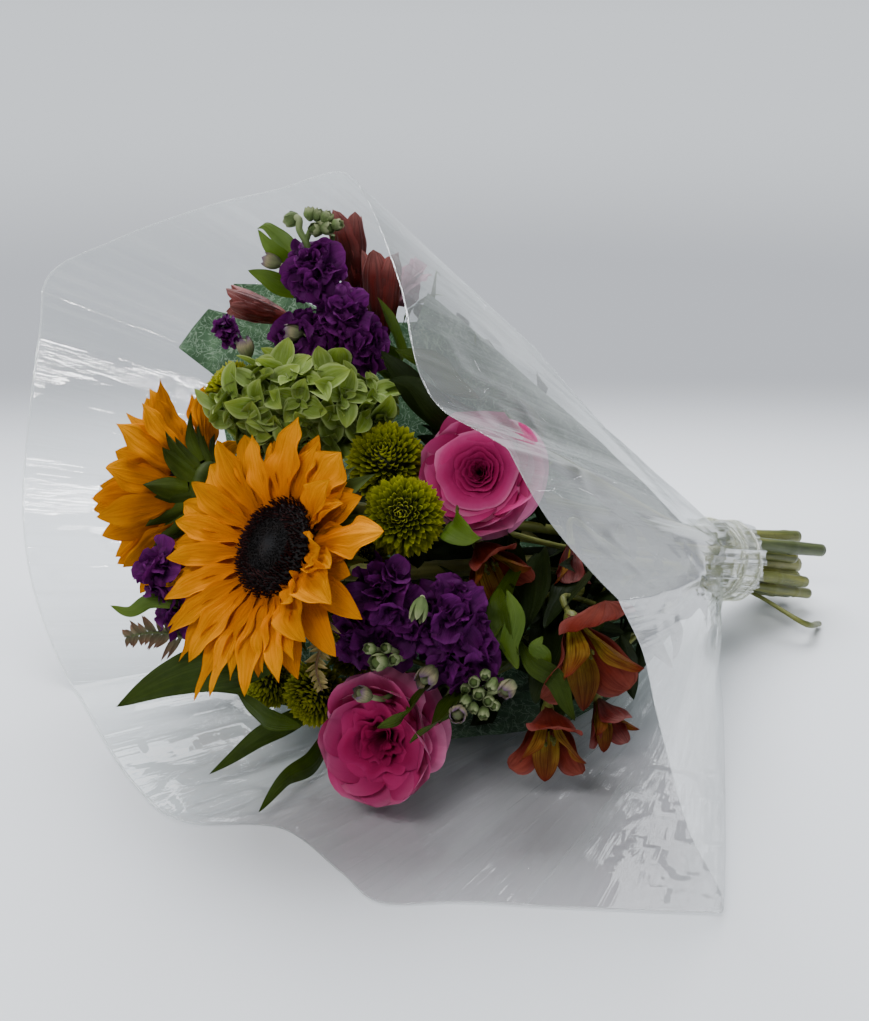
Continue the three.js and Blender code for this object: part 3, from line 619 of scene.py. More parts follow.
# Each front petal: its angle and reach from the disc's middle, its width, the first lift and the curl of its
# midrib, its fold and twist, and the share of its length at which it is widest.
FRONT_PETALS = places("""
    80 60 19 0.1 -0.1 0.55 0.05 0.48, 98 53 13 0.15 -0.25 0.45 -0.2 0.45, 44 50 23 0.2 -0.35 -0.2 0.1 0.66,
    22 48 15 0.55 0 0.9 0.3 0.58, 12 43 12 0.45 -0.6 0.6 -0.5 0.6, 354 60 20 0.24 -0.45 -0.4 -0.35 0.64,
    343 40 16 0.55 0.05 0.5 0.4 0.62, 333 44 14 0.45 -0.2 0.5 -0.5 0.62, 319 53 19 0.4 -0.45 0.6 -0.35 0.55,
    307 42 15 0.55 0.15 0.6 0.4 0.55, 299 54 17 0.25 -0.15 0.8 0.15 0.62, 288 55 12 0.2 -0.2 0.6 0.2 0.52,
    279 61 12 0.15 -0.2 0.55 -0.1 0.52, 270 55 12 0.25 -0.35 0.5 0.2 0.5,
    262 64 13 0.15 -0.2 0.6 -0.25 0.52, 253 59 12 0.25 -0.3 0.45 0.3 0.5, 244 68 12 0.12 -0.15 0.55 0.1 0.5,
    236 74 12 0.1 -0.15 0.55 0.15 0.5, 227 62 14 0.26 -0.35 0.4 -0.25 0.5, 219 68 14 0.16 -0.25 0.5 0.2 0.5,
    210 63 12 0.28 -0.25 0.45 -0.15 0.5, 202 68 13 0.14 -0.2 0.5 0.25 0.48,
    193 63 12 0.26 -0.25 0.45 -0.2 0.48, 184 70 13 0.16 -0.3 0.5 0.15 0.46,
    175 62 12 0.28 -0.2 0.45 -0.2 0.5, 167 70 13 0.12 -0.2 0.5 0.2 0.5, 158 66 13 0.24 -0.3 0.4 -0.15 0.52,
    150 72 16 0.14 -0.25 0.45 0.15 0.54, 141 67 14 0.24 -0.28 0.45 -0.25 0.5,
    132 70 16 0.14 -0.28 0.5 0.15 0.55, 122 71 15 0.2 -0.22 0.5 -0.15 0.56,
    112 66 15 0.14 -0.25 0.5 0.2 0.55, 104 58 13 0.24 -0.2 0.4 -0.15 0.52, 90 50 13 0.05 -0.15 0.3 0.1 0.5,
    64 50 14 0.05 -0.1 0.4 -0.1 0.5, 30 43 13 0.05 -0.1 0.3 0 0.5
""")


def front_petals(at, axes):
    """The open sunflower's rays: the petals above, and a shorter row of plain ones behind them."""
    angle, reach, width, lift, curl, fold, twist, peak = FRONT_PETALS.T
    outward = around(axes, angle)
    level = np.where(np.arange(len(angle)) % 2 == 0, 0.8, -0.6)
    base = at + outward * 20.5 + axes[2] * level[:, None]
    front = blades(
        base, outward, axes[2], (reach - 19) * 1.07, width, bend=lift, curl=curl, peak=peak, taper=0.95,
        stalk=0.5, cup=0.05, fold=fold * 0.8, twist=twist * 1.3, wave=0.11, waves=2.6, ribs=0.034, rib_count=4.0,
        grid=(23, 15), seed=4, late=1.7,
    )
    draw = np.random.default_rng(12)
    count = 24
    angle = np.arange(count) * 360 / count + draw.uniform(-5, 5, count)
    outward = around(axes, angle)
    reach = np.where((angle < 60) | (angle > 325), 44, 60) + draw.uniform(-6, 3, count)
    base = at + outward * 20 - axes[2] * 2.6
    back = blades(
        base, outward, axes[2], reach - 18, draw.uniform(13, 17, count), bend=0.05, curl=-0.25, taper=0.85,
        stalk=0.5, fold=draw.uniform(0.05, 0.3, count), twist=draw.uniform(-0.3, 0.3, count), wave=0.05,
        waves=2.0, ribs=0.018, rib_count=4.0, grid=(15, 9), seed=5,
    )
    return [front, using(back, 1)]


def side_petals(at, axes):
    """The sunflower seen from its side: three rows swept towards its front, the outermost lying closest."""
    draw = np.random.default_rng(31)
    rows = []
    whorls = ((17, 0.7, 37, 1.2), (17, 0.55, 40, 0.0), (15, 0.42, 41, -1.4))
    for row, (count, lift, reach, level) in enumerate(whorls):
        angle = (np.arange(count) + 0.5 * row) * 360 / count + draw.uniform(-6, 6, count)
        outward = around(axes, angle)
        rows.append(using(blades(
            at + outward * 21 + axes[2] * level, outward, axes[2], reach + draw.uniform(-6, 4, count),
            draw.uniform(15, 20, count), bend=lift + draw.uniform(-0.12, 0.12, count),
            curl=draw.uniform(-0.5, 0.25, count), peak=0.56, taper=0.9, stalk=0.5, cup=0.05,
            fold=draw.uniform(-0.1, 0.35, count), twist=draw.uniform(-0.5, 0.5, count), wave=0.09, waves=2.2,
            ribs=0.025, rib_count=4.0, grid=(19, 13), seed=33 + row,
        ), row % 2))
    return rows


FRONT_SUN_AT, FRONT_SUN = np.array([-4.0, -135.0, 127.0]), flower_axes([0.19, -0.78, 0.6])
LEFT_SUN_AT, LEFT_SUN = np.array([-104.0, -140.0, 120.0]), flower_axes([-0.77, -0.63, -0.1])
# Each sunflower: its place, axes and petals, the reach, lift and curl of its calyx leaves, and its back's radius.
SUNFLOWERS = (
    ("front", FRONT_SUN_AT, FRONT_SUN, front_petals, 34, 0.15, -0.2, 23),
    ("left", LEFT_SUN_AT, LEFT_SUN, side_petals, 27, 0.62, -0.1, 17),
)
for label, at, axes, petals, *green in SUNFLOWERS:
    name = f"sunflower_{label}"
    disc = seed_head(at, axes, 22.5, 6.5, 7)
    piece(f"{name}_rays", petals(at, axes), [SUN_PETAL, SUN_PETAL_BACK], [f"{name}_petals"])
    piece(f"{name}_seeds", disc, [SEED_DARK, SEED_MIDDLE], [f"{name}_disc"])
    piece(f"{name}_leafy_back", calyx(at, axes, *green), [CALYX_GREEN], [f"{name}_calyx"])

# ---- roses ----


def rose_whorl(at, axes, radius, height, turns, spread, ruffle, lobes, seed):
    """The rose as one sheet wound inwards: at turn angle q and share a from heart to edge, petals open by
    p = spread * exp(-q / 8 pi), their edge is X = 1 - lobes (1.25 (1 - mod(2.6 q, 2 pi) / pi)^2 - 0.25)^2 and
    rolls back by y = 1.957 a^2 (1.277 a - 1)^2 sin p, more so outside; r = X (a sin p + y cos p) and
    h = X (a cos p - y sin p), which sinks by a third over the inner turns, so that the heart lies in a hollow."""
    q = np.linspace(0, turns * np.pi, int(turns * 46))[:, None]
    a = np.linspace(0, 1, 22)[None, :]
    number = 2.6 * q / (2 * np.pi)
    crest = 1 - (1.25 * (1 - (number % 1.0) * 2) ** 2 - 0.25) ** 2 * lobes
    crest = crest * (1 + 0.06 * wander(number * 2.3, 0 * number, seed))
    p = spread * np.exp(-q / (8 * np.pi))
    outer = 1 - q / (turns * np.pi)
    y = 1.95653 * a**2 * (1.27689 * a - 1) ** 2 * np.sin(p) * (1 + 1.6 * outer)
    ripple = number * 2 * np.pi * 2.2 + 3 * wander(number * 1.5, a * 2, seed + 1)
    wavy = ruffle * a**3 * (0.35 + outer) * np.sin(ripple)
    r = crest * (a * np.sin(p) + y * np.cos(p)) + wavy * np.cos(p)
    h = crest * (a * np.cos(p) - y * np.sin(p)) + wavy * np.sin(p)
    h = h * (1 - 0.34 * smooth(q / np.pi, 5, 11))
    x = radius * r * np.sin(q) * (1 + 0.05 * wander(q / 2, a * 0, seed + 2))
    z = radius * r * np.cos(q)
    points = at + x[..., None] * axes[0] + z[..., None] * axes[1] + (h * height)[..., None] * axes[2]
    # Colour share along the sheet: darkest at the heart and on the inner turns, paler out to the edges and
    # brightest on the rims of the outer turns. The darkening into the hollow is partly the rose's own deeper pink
    # and partly painted shade; the bright rims are partly a painted highlight.
    hue_with_painted_shade = a**1.5 * (0.34 + 0.48 * smooth(outer, 0.5, 0.85)) + 0.06 * outer
    hue_with_painted_shade = np.clip(hue_with_painted_shade + 0.2 * smooth(a, 0.9, 1.0) * smooth(outer, 0.05, 0.5), 0, 1)
    tone = np.random.default_rng(seed).uniform(0, 1, 200)[np.floor(number).astype(int) % 200]
    across = (number % 1.0) * 2 - 1
    spread_out = [np.broadcast_to(value, hue_with_painted_shade.shape)[None] for value in (hue_with_painted_shade, across, tone)]
    return grid_of(points[None], *spread_out)


def guard_petals(at, axes, size, seed, count=8):
    """The rose's outermost petals: broad shells that rise from its foot and roll back at their rims."""
    draw = np.random.default_rng(seed)
    angle = np.arange(count) * 360 / count + draw.uniform(-14, 14, count)
    outward = around(axes, angle)
    radius = 29.5 * size
    base = at + outward * (radius * 0.2) - axes[2] * (17 * size)
    return blades(
        base, outward, axes[2], radius * 1.08 * draw.uniform(0.92, 1.08, count),
        42 * size * draw.uniform(0.9, 1.1, count), bend=0.92 + draw.uniform(-0.12, 0.12, count),
        curl=-0.6 + draw.uniform(-0.3, 0.3, count), peak=0.64, taper=0.32, stalk=0.3, cup=0.6,
        twist=draw.uniform(-0.15, 0.15, count), wave=0.03, waves=1.4, ribs=0.004, rib_count=5.0, grid=(19, 17),
        seed=seed, late=2.2,
    )


def sepals(at, axes, size, seed):
    """Five narrow green sepals under a rose, bent back, and the green hip that they grow from."""
    draw = np.random.default_rng(seed)
    outward = around(axes, np.arange(5) * 72 + 20)
    base = at - axes[2] * (21 * size - 1) + outward * (4 * size)
    narrow = blades(
        base, outward, axes[2], 22 * size * draw.uniform(0.8, 1.2, 5), 7 * size, bend=-0.1, curl=-0.9, peak=0.25,
        taper=1.0, stalk=0.8, cup=0.2, fold=0.3, twist=draw.uniform(-0.5, 0.5, 5), wave=0.05, waves=2.0,
        grid=(13, 7), seed=seed,
    )
    hip = ball(at - axes[2] * (24 * size), axes, (5.5 * size, 5.5 * size, 5 * size), 0.05, 12, seed)
    return [narrow, hip]


# Each rose: its place, the way it faces, its size and pink, and how its sheet opens, ruffles, is cut and turns.
ROSES = {
    "right": ([11, -35, 149], [0.56, -0.66, 0.5], 1.04, ROSE_PINK, 1.34, 0.02, 0.06, 26),
    "low": ([45, -110, 42], [0.61, -0.74, 0.28], 1.02, ROSE_HOT, 1.4, 0.1, 0.26, 17),
    "back": ([-120, -4, 213], [-0.4, -0.5, 0.77], 0.66, ROSE_PALE, 1.1, 0.05, 0.25, 14),
}
for index, (label, (at, faces, size, pink, spread, ruffle, lobes, turns)) in enumerate(ROSES.items()):
    at, axes = np.array(at, float), flower_axes(faces)
    middle = at - axes[2] * 13 * size
    whorl = rose_whorl(middle, axes, 29 * size, 26 * size, turns, spread, ruffle, lobes, 60 + index)
    guards = guard_petals(at, axes, size, 70 + index)
    piece(f"rose_{label}_petals", [whorl, guards], [pink], [f"rose_{label}_bloom"])
    green = sepals(at, axes, size, 80 + index)
    piece(f"rose_{label}_green_cup", green, [SEPAL_GREEN], [f"rose_{label}_sepals"])

# ---- button chrysanthemums ----


def button_head(at, axes, size, seed, count=360):
    """A dome of narrow florets at golden-angle steps. Each leans along the dome's own normal and curls over
    towards the middle; those at the middle are short and closed."""
    draw = np.random.default_rng(seed)
    number = np.arange(count)
    polar = np.arccos(1 - (number + 0.5) / count * 1.4)
    angle = number * GOLDEN + draw.uniform(-4, 4, count)
    outward = around(axes, angle)
    normal = np.cos(polar)[:, None] * axes[2] + np.sin(polar)[:, None] * outward
    core = at - axes[2] * 2.5 * size
    base = core + normal * (9.5 * size) + axes[2] * (-1.5 * size * np.sin(polar) ** 2)[:, None]
    inward = np.cos(polar)[:, None] * -outward + np.sin(polar)[:, None] * axes[2]
    length = size * (4.0 + 6.0 * smooth(polar, 0.1, 1.1)) * draw.uniform(0.85, 1.15, count)
    florets = blades(
        base, normal + draw.normal(0, 0.06, (count, 3)), inward, length, 2.6 * size, bend=-0.35, curl=1.05,
        peak=0.74, taper=0.5, stalk=0.6, cup=0.9, twist=draw.uniform(-0.3, 0.3, count), grid=(7, 4), seed=seed,
    )
    florets["values"][2] = florets["values"][2] * 0.6 + 0.4 * (1 - polar / polar.max())[:, None, None]
    bed = ball(core, axes, (12 * size, 12 * size, 10 * size), 0.03, 12, seed)
    # The bed under the florets takes the ramp's darkest green: painted shade deep among the florets.
    return [florets, {**bed, "values": [v * 0 for v in bed["values"]]}]


# Each button flower: its place, the way it faces and its size.
BUTTONS = {
    "upper": ([-27, -66, 150], [0.44, -0.38, 0.81], 1.08), "middle": ([15, -80, 138], [0.68, -0.53, 0.5], 1.02),
    "inner": ([-30, -84, 96], [0.72, -0.56, 0.4], 0.95),
    "top_left": ([-131, -109, 168], [-0.31, -0.59, 0.74], 0.88),
    "far_left": ([-146, -95, 143], [-0.6, -0.59, 0.3], 0.76),
    "top": ([-136, -76, 172], [-0.31, -0.4, 0.84], 0.82),
    "low_left": ([-31, -138, 40], [0.13, -0.95, 0.01], 0.84), "low": ([3, -125, 46], [0.5, -0.86, -0.04], 0.88),
    "low_inner": ([-11, -97, 59], [0.48, -0.72, 0.39], 0.84),
}
for index, (label, (at, faces, size)) in enumerate(BUTTONS.items()):
    name = f"button_chrysanthemum_{label}"
    head = button_head(np.array(at, float), flower_axes(faces), size, 100 + index)
    piece(f"{name}_florets", head, [BUTTON_GREEN], [name])

# ---- head of green bracts ----

BRACTS_AT = np.array([-73.0, -88.0, 168.0])
BRACTS_AXES = (CAMERA_RIGHT, -CAMERA_BACK, CAMERA_UP)
BRACTS_SIZES = np.array([42.0, 26.0, 19.0])


def bract_head(count, seed):
    """Small rosettes spread by golden-angle steps over the rounded head, each facing outwards from it: four
    broad bracts, three smaller ones over them and a tiny green ball at the heart."""
    draw = np.random.default_rng(seed)
    number = np.arange(count)
    z = 1 - 2 * (number + 0.5) / count
    angle = np.radians(number * GOLDEN)
    ring = np.sqrt(1 - z**2)
    sphere = np.stack([ring * np.cos(angle), ring * np.sin(angle), z], -1)
    frame_axes = np.stack(BRACTS_AXES)
    normal = unit((sphere / BRACTS_SIZES) @ frame_axes + draw.normal(0, 0.004, (count, 3)))
    spot = BRACTS_AT + (sphere * BRACTS_SIZES * 0.94) @ frame_axes
    grids = []
    for lap, (petals, grow, sink) in enumerate(((4, 1.0, 0.0), (3, 0.5, 1.6))):
        spin = draw.uniform(0, 90, count)
        x = unit(np.cross(normal, np.array([0.3, 0.2, 0.93])))
        y = np.cross(normal, x)
        for step in range(petals):
            turn = np.radians(spin + step * 360 / petals + draw.uniform(-14, 14, count) + 45 * lap)[:, None]
            out = np.cos(turn) * x + np.sin(turn) * y
            size = grow * draw.uniform(0.6, 1.4, count)
            grids.append(blades(
                spot + normal * sink, out, normal, 15 * size, 10 * size, bend=draw.uniform(-0.15, 0.95, count),
                curl=draw.uniform(-0.9, 0.3, count), peak=0.47, taper=0.78, stalk=0.3, cup=0.1, fold=0.4,
                twist=draw.uniform(-0.6, 0.6, count), wave=0.035, waves=1.5, grid=(11, 7),
                seed=seed + 10 * lap + step,
            ))
    hearts = [ball(s + n * 2.4, BRACTS_AXES, (1.3, 1.3, 1.3), 0.1, 6, 5) for s, n in zip(spot, normal)]
    core = ball(BRACTS_AT, BRACTS_AXES, BRACTS_SIZES * 0.72, 0.1, 18, 6)
    return grids, hearts + [core]


bract_sets, bract_hearts = bract_head(72, 200)
piece("green_bracts", bract_sets + [using(h, 1) for h in bract_hearts], [BRACT_GREEN, CALYX_GREEN],
      ["green_bract_cluster"])

# ---- purple stock ----


def stock_floret(at, faces, size, seed):
    """A double floret: four whorls of ruffled petals, the inner ones upright and crumpled."""
    axes = flower_axes(faces)
    draw = np.random.default_rng(seed)
    grids = []
    whorls = ((5, 1.0, 0.2, -2.5), (5, 0.85, 0.65, -1.0), (5, 0.62, 1.1, 0.2), (4, 0.42, 1.35, 1.0))
    for count, reach, lift, level in whorls:
        angle = np.arange(count) * 360 / count + draw.uniform(0, 72) + draw.uniform(-24, 24, count)
        outward = around(axes, angle)
        grids.append(blades(
            at + axes[2] * level * size + outward * 1.2 * size, outward, axes[2],
            17.5 * size * reach * draw.uniform(0.65, 1.25, count),
            15.5 * size * reach * draw.uniform(0.7, 1.25, count), bend=lift + draw.uniform(-0.4, 0.3, count),
            curl=draw.uniform(-1.4, 0.5, count), peak=0.7, taper=0.42, stalk=0.22, cup=0.1,
            fold=draw.uniform(-0.5, 0.6, count), twist=draw.uniform(-1.0, 1.0, count),
            wave=draw.uniform(0.06, 0.16), waves=draw.uniform(1.6, 3.2), ribs=0.02, grid=(15, 11),
            seed=seed + count * 7 + int(10 * reach),
        ))
    return grids


def bud(at, faces, length, width, seed, tips=0.25, material=0):
    """A closed bud: five narrow leaves bent round from the stalk to meet at the tip, over a filled middle."""
    axes = flower_axes(faces)
    outward = around(axes, np.arange(5) * 72 + seed * 31)
    base = np.asarray(at, float) - axes[2] * length / 2 + outward * width * 0.12
    shells = blades(
        base, outward + 0.2 * axes[2], axes[2], length * 1.22, width * 0.95, bend=0.35, curl=1.75 - tips,
        taper=0.6, stalk=0.4, cup=0.5, twist=0.15, grid=(10, 7), seed=seed, late=0.8,
    )
    middle = ball(at, axes, (width * 0.42, width * 0.42, length * 0.48), 0.04, 10, seed)
    return [using(shells, material), using(middle, material)]


STOCK_TOP = places("-103 -65 230, -83 -61 209, -76 -56 196, -92 -77 197")
STOCK_LEFT = places("-64 -172 97, -64 -165 76")
STOCK_FRONT = places("28 -95 107, 24 -104 87, 47 -72 100, 56 -71 80, 37 -85 92")


def stock_spike(florets, facing, size, seed, extra):
    """One spike: at each place a floret, and round it extra smaller ones that lean away from it."""
    grids = []
    for i, (at, faces) in enumerate(zip(florets, facing)):
        grids += stock_floret(at + unit(faces) * 5 * size, faces, size, seed + 13 * i)
        side_axes = flower_axes(faces)
        for j in range(extra):
            lean = around(side_axes, seed * 17 + i * 77 + j * 360 / extra)[0]
            way = unit(np.asarray(faces) * 0.35 + lean)
            grids += stock_floret(at + way * 8 * size, way, size * 0.72, seed + 13 * i + 5 * j + 3)
    return grids


# Each spike: the places of its florets and the way each faces, their size, seed and number of extra ones.
STOCK_SPIKES = (
    ("small", places("-118 -112 203, -116 -110 199"), places("-0.1 -0.6 0.8, 0.5 -0.6 0.5"), 0.42, 391, 2),
    ("top", STOCK_TOP, places("0.5 -0.55 0.67, 0.75 -0.4 0.5, 0.8 -0.35 0.2, 0.3 -0.75 0.3"), 1.05, 300, 4),
    ("left", STOCK_LEFT, places("-0.1 -0.9 0.35, 0.2 -0.95 0"), 0.92, 340, 3),
    ("front", STOCK_FRONT,
     places("0.45 -0.75 0.55, 0.4 -0.85 -0.1, 0.8 -0.4 0.45, 0.85 -0.45 -0.1, 0.65 -0.65 0.4"), 1.05, 370, 3),
)
for label, spots, facing, size, seed, extra in STOCK_SPIKES:
    petals = stock_spike(spots, facing, size, seed, extra)
    line = using(tube(evenly(spots, 24), 2.6 * size, 9, 0.4), 1)
    nodes = [] if label == "small" else [f"stock_{label}_florets"]
    piece(f"stock_{label}_ruffles", [*petals, line], [STOCK_PURPLE, STOCK_GREEN], nodes)

top_stalk = evenly(places("-108 -66 236, -111 -66 244, -116.5 -67.5 251, -117 -67 256, -121 -68 257"), 26)
top_arm = evenly(places("-112 -66 245, -112 -62 252, -107 -57 255"), 16)
top_knobs = []
# The knobs at the tip of the top spike: place, way, length and width.
for i, (at, faces, length, width) in enumerate((
    ([-122.5, -68.5, 256], [-0.7, -0.3, -0.4], 9, 7.5), ([-114, -62, 258.5], [0, 0, 1], 7, 6.5),
    ([-111, -59, 258], [0.3, 0.3, 0.9], 6.5, 6), ([-107, -56, 257], [0.4, 0.5, 0.7], 7, 6.5),
    ([-105, -57, 252], [0.8, 0.2, 0.1], 8, 7), ([-110, -60, 251], [0.2, -0.6, 0.2], 8, 7.5),
    ([-101, -53, 254], [0.8, 0.5, 0.3], 6.5, 6),
)):
    top_knobs += bud(at, faces, length, width, 400 + i)
piece("stock_top_knobs", [tube(top_stalk, 1.9, 9, 0.6), tube(top_arm, 1.5, 9, 0.6)] + top_knobs, [STOCK_GREEN],
      ["stock_top_buds"])
front_stalk = evenly(places("60 -75.5 65, 68 -74 68, 76 -70 72, 80 -66 76"), 18)
front_fork = evenly(places("68 -74 68, 72 -82 69, 77 -78 65"), 12)
front_knobs = [using(tube(front_stalk, 1.2, 9, 0.6), 1), using(tube(front_fork, 1.0, 8, 0.6), 1)]
# Small round knobs, then two longer ones whose tips show purple: place, length, width, material.
for i, (at, length, width, kind) in enumerate((
    ([72, -76, 78], 6, 5.5, 1), ([73, -71, 81], 5.5, 5, 1), ([76, -69, 77], 6, 5.5, 1), ([74, -75, 73], 6.5, 6, 1),
    ([78, -72, 70], 6, 5.5, 1), ([72, -81, 70], 6, 5.5, 1), ([78, -75, 65], 6, 5.5, 1), ([80, -70, 68], 5.5, 5, 1),
    ([68, -78, 73], 5.5, 5, 1), ([76, -79, 68], 5, 4.5, 1), ([81, -64, 76], 9, 8, 0), ([74, -86, 66], 10, 7.5, 0),
)):
    way = [0.6 + 0.3 * math.sin(i * 2.4), -0.6, 0.4 * math.cos(i * 1.7)]
    front_knobs += bud(at, way, length, width, 420 + i, 0.25, kind)
piece("stock_front_knobs", front_knobs, [STOCK_BUD, STOCK_GREEN], ["stock_front_buds"])

# Single buds on short stalks that show among the flowers: place, way, length, width, tip colour, stalk's foot.
LONE_BUDS = (
    ("pale_left", [-109, -105, 193], [-0.1, -0.2, 0.95], 11, 7.5, 1, [-100, -92, 168]),
    ("by_top_a", [-87, -86, 204], [-0.3, -0.9, 0.1], 10, 9, 1, [-76, -66, 200]),
    ("by_top_b", [-125, -80, 234], [-0.6, -0.7, 0.3], 10, 8, 1, [-106, -66, 232]),
    ("by_top_c", [-110, -54, 237], [0.7, -0.5, -0.5], 12, 9.5, 0, [-108, -52, 248]),
    ("front_a", [47, -110, 86], [0.3, -0.9, 0.3], 9, 8, 0, [36, -96, 78]),
    ("front_b", [48, -119, 72], [0.0, -0.8, 0.6], 9, 6.5, 1, [44, -100, 66]),
    ("front_c", [57, -91, 78], [0.5, -0.8, -0.1], 12, 8, 1, [46, -78, 78]),
    ("front_d", [44, -113, 92], [0.2, -0.9, 0.5], 6, 5, 0, [36, -96, 86]),
    ("front_e", [51, -92, 110], [0.5, -0.6, -0.7], 11, 4.5, 0, [36, -82, 100]),
    ("front_f", [50, -104, 87], [0.5, -0.7, 0.3], 6, 5, 0, [38, -90, 82]),
    ("front_g", [46, -106, 91], [0.4, -0.7, 0.5], 5.5, 5, 0, [38, -90, 84]),
)
for index, (label, at, way, length, width, kind, foot) in enumerate(LONE_BUDS):
    grids = bud(at, way, length, width, 450 + index, 0.3, kind)
    at, foot = np.array(at, float), np.array(foot, float)
    back = at - unit(way) * length * 0.45
    grids.append(using(tube(evenly([foot, (foot + back) / 2 + [0, 0, -3], back], 14), 1.3, 8, 0.5), 0))
    piece(f"bud_{label}", grids, [STOCK_GREEN, STOCK_BUD, STOCK_PURPLE])

# ---- alstroemeria ----


def open_lily(at, faces, size, seed, lift=0.95, curl=-0.35, cap=0.0):
    """An alstroemeria: three broad outer petals, three narrower inner ones with dark streaks and six thin
    stamens, all from a narrow green throat. cap rolls the outer petals back, the uppermost one most."""
    at, axes = np.asarray(at, float), flower_axes(faces)
    draw = np.random.default_rng(seed)
    foot = at - axes[2] * 18 * size
    turn = draw.uniform(-15, 15)
    outer = around(axes, np.array([90, 210, 330]) + turn)
    inner = around(axes, np.array([30, 150, 270]) + turn)
    back = cap * np.array([1.0, 0.15, 0.15])
    broad = blades(
        foot + outer * 2.2 * size, outer, axes[2], 40 * size, (23 + 13 * back) * size,
        bend=lift + draw.uniform(-0.1, 0.15, 3) - 0.12 * back,
        curl=curl + draw.uniform(-0.35, 0.2, 3) - 1.5 * back, peak=0.68, taper=0.55, stalk=0.16,
        cup=0.35 - 0.5 * back, twist=draw.uniform(-0.3, 0.3, 3), wave=0.07, waves=1.8, ribs=0.012, rib_count=4.0,
        grid=(25, 17), seed=seed, late=2.4,
    )
    narrow = blades(
        foot + inner * 2.0 * size, inner, axes[2], 41 * size, 15 * size, bend=lift + 0.12, curl=curl - 0.05,
        peak=0.6, taper=0.7, stalk=0.2, cup=0.5, twist=draw.uniform(-0.3, 0.3, 3), wave=0.06, waves=2.0,
        ribs=0.012, grid=(23, 13), seed=seed + 1,
    )
    stamens = []
    for i in range(6):
        way = around(axes, i * 60 + 13)[0]
        line = evenly([foot, foot + axes[2] * 12 * size + way * 2 * size,
                       foot + axes[2] * 20 * size + way * (3 + 2 * draw.uniform()) * size], 14)
        anther = ball(line[-1], axes, (0.9, 0.7, 1.7), 0.1, 6, i, 3)
        stamens += [tube(line, 0.45 * size, 6, 0.5, material=2), anther]
    throat = ball(foot + axes[2] * 2 * size, axes, (3.6 * size, 3.6 * size, 5.5 * size), 0.05, 12, seed, 3)
    return [broad, using(narrow, 1), *stamens, throat]


# Each alstroemeria, open and closed: its place, the way it faces and its size.
LILIES = {
    "middle": ([26, -38, 106], [0.8, -0.1, -0.35], 0.85), "right": ([30, 10, 97], [0.45, -0.3, -0.75], 0.62),
    "large": ([77, -18, 78], [0.84, -0.24, -0.42], 1.08), "low": ([82, -40, 40], [0.7, -0.45, -0.5], 0.85),
    "under": ([74, 2, 30], [0.8, -0.2, -0.4], 0.66),
}
CLOSED_LILIES = {
    "tall": ([-124, -34, 230], [-0.25, 0.05, 0.95], 1.0), "behind": ([-97, -29, 212], [-0.1, 0.1, 0.95], 1.08),
    "side": ([-140, -83, 205], [-0.31, -0.9, 0.31], 0.8),
}
for index, (label, (at, faces, size)) in enumerate(LILIES.items()):
    outside = LILY_DARK if label in ("right", "under") else LILY_OUTER
    cap = {"large": 1.0, "middle": 0.5, "low": 0.6}.get(label, 0.0)
    flower = open_lily(at, faces, size, 500 + index, 1.28 if label == "right" else 1.12, cap=cap)
    stuff, name = [outside, LILY_INNER, LILY_DARK, STEM_GREEN], f"alstroemeria_{label}"
    piece(f"{name}_petals", flower, stuff, [f"{name}_flower"])


def closed_lily(at, faces, size, seed):
    """A closed alstroemeria: six folded petals side by side, their tips just apart, on a green ovary."""
    at, axes = np.asarray(at, float), flower_axes(faces)
    draw = np.random.default_rng(seed)
    foot = at - axes[2] * 20 * size
    rows = []
    count = 3
    for row, (reach, width) in enumerate(((47, 18), (45, 15))):
        way = around(axes, np.arange(count) * 120 + 60 * row + draw.uniform(-10, 10))
        rows.append(blades(
            foot + way * 2.5 * size, way, axes[2], reach * size * draw.uniform(0.93, 1.05, count), width * size,
            bend=1.05, curl=draw.uniform(0.46, 0.66, count), peak=0.55, taper=0.5, stalk=0.3, cup=0.7,
            twist=draw.uniform(-0.25, 0.25, count), wave=0.05, waves=3.5, ribs=0.035, rib_count=4.0,
            grid=(27, 15), seed=seed + row, late=0.6,
        ))
    core = ball(at - axes[2] * 2 * size, axes, (7.5 * size, 7.5 * size, 17 * size), 0.05, 14, seed)
    ovary = ball(foot, axes, (3.6 * size, 3.6 * size, 5 * size), 0.1, 12, seed)
    return [*rows, core, using(ovary, 1)]


for index, (label, (at, faces, size)) in enumerate(CLOSED_LILIES.items()):
    piece(f"alstroemeria_{label}_closed", closed_lily(at, faces, size, 540 + index), [LILY_DARK, STEM_GREEN],
          [f"alstroemeria_{label}_bud"])

# ---- stems ----


def bundle_point(ring, clock, along):
    """A point of the spiral bunch: along its axis from the tie, on a circle that splays towards the cut ends."""
    turned = math.radians(clock + min(along, 0.0) * 10 / 90)
    splay = 1 + 0.12 * float(smooth(-along, 50, 110))
    return TIE + AXIS * along + (ACROSS * math.cos(turned) + OVER * math.sin(turned)) * ring * splay


def ring_of(ring, radius):
    """The distance from the bunch's middle of a stem in this ring."""
    return {"heart": 0.0, "inner": 5.05 + radius, "tissue": 20.16 - radius, "film": 22.05 - radius}[ring]


def held(ring, clock, radius, cut):
    """The tied part of a stem, from its cut end to where it leaves the tie."""
    at = ring_of(ring, radius)
    return [bundle_point(at, clock, a) for a in (-cut, -cut / 2, -4, 8)]


def stem_line(slot, radius, cut, end, faces, bend=24.0):
    """A stem's path: through the tie, out towards its flower, and round into the flower's own direction."""
    tied = held(*slot, radius, cut)
    end = np.asarray(end, float)
    turn_in = end - unit(faces) * bend
    return [*tied, (tied[-1] + turn_in) / 2, turn_in, end]


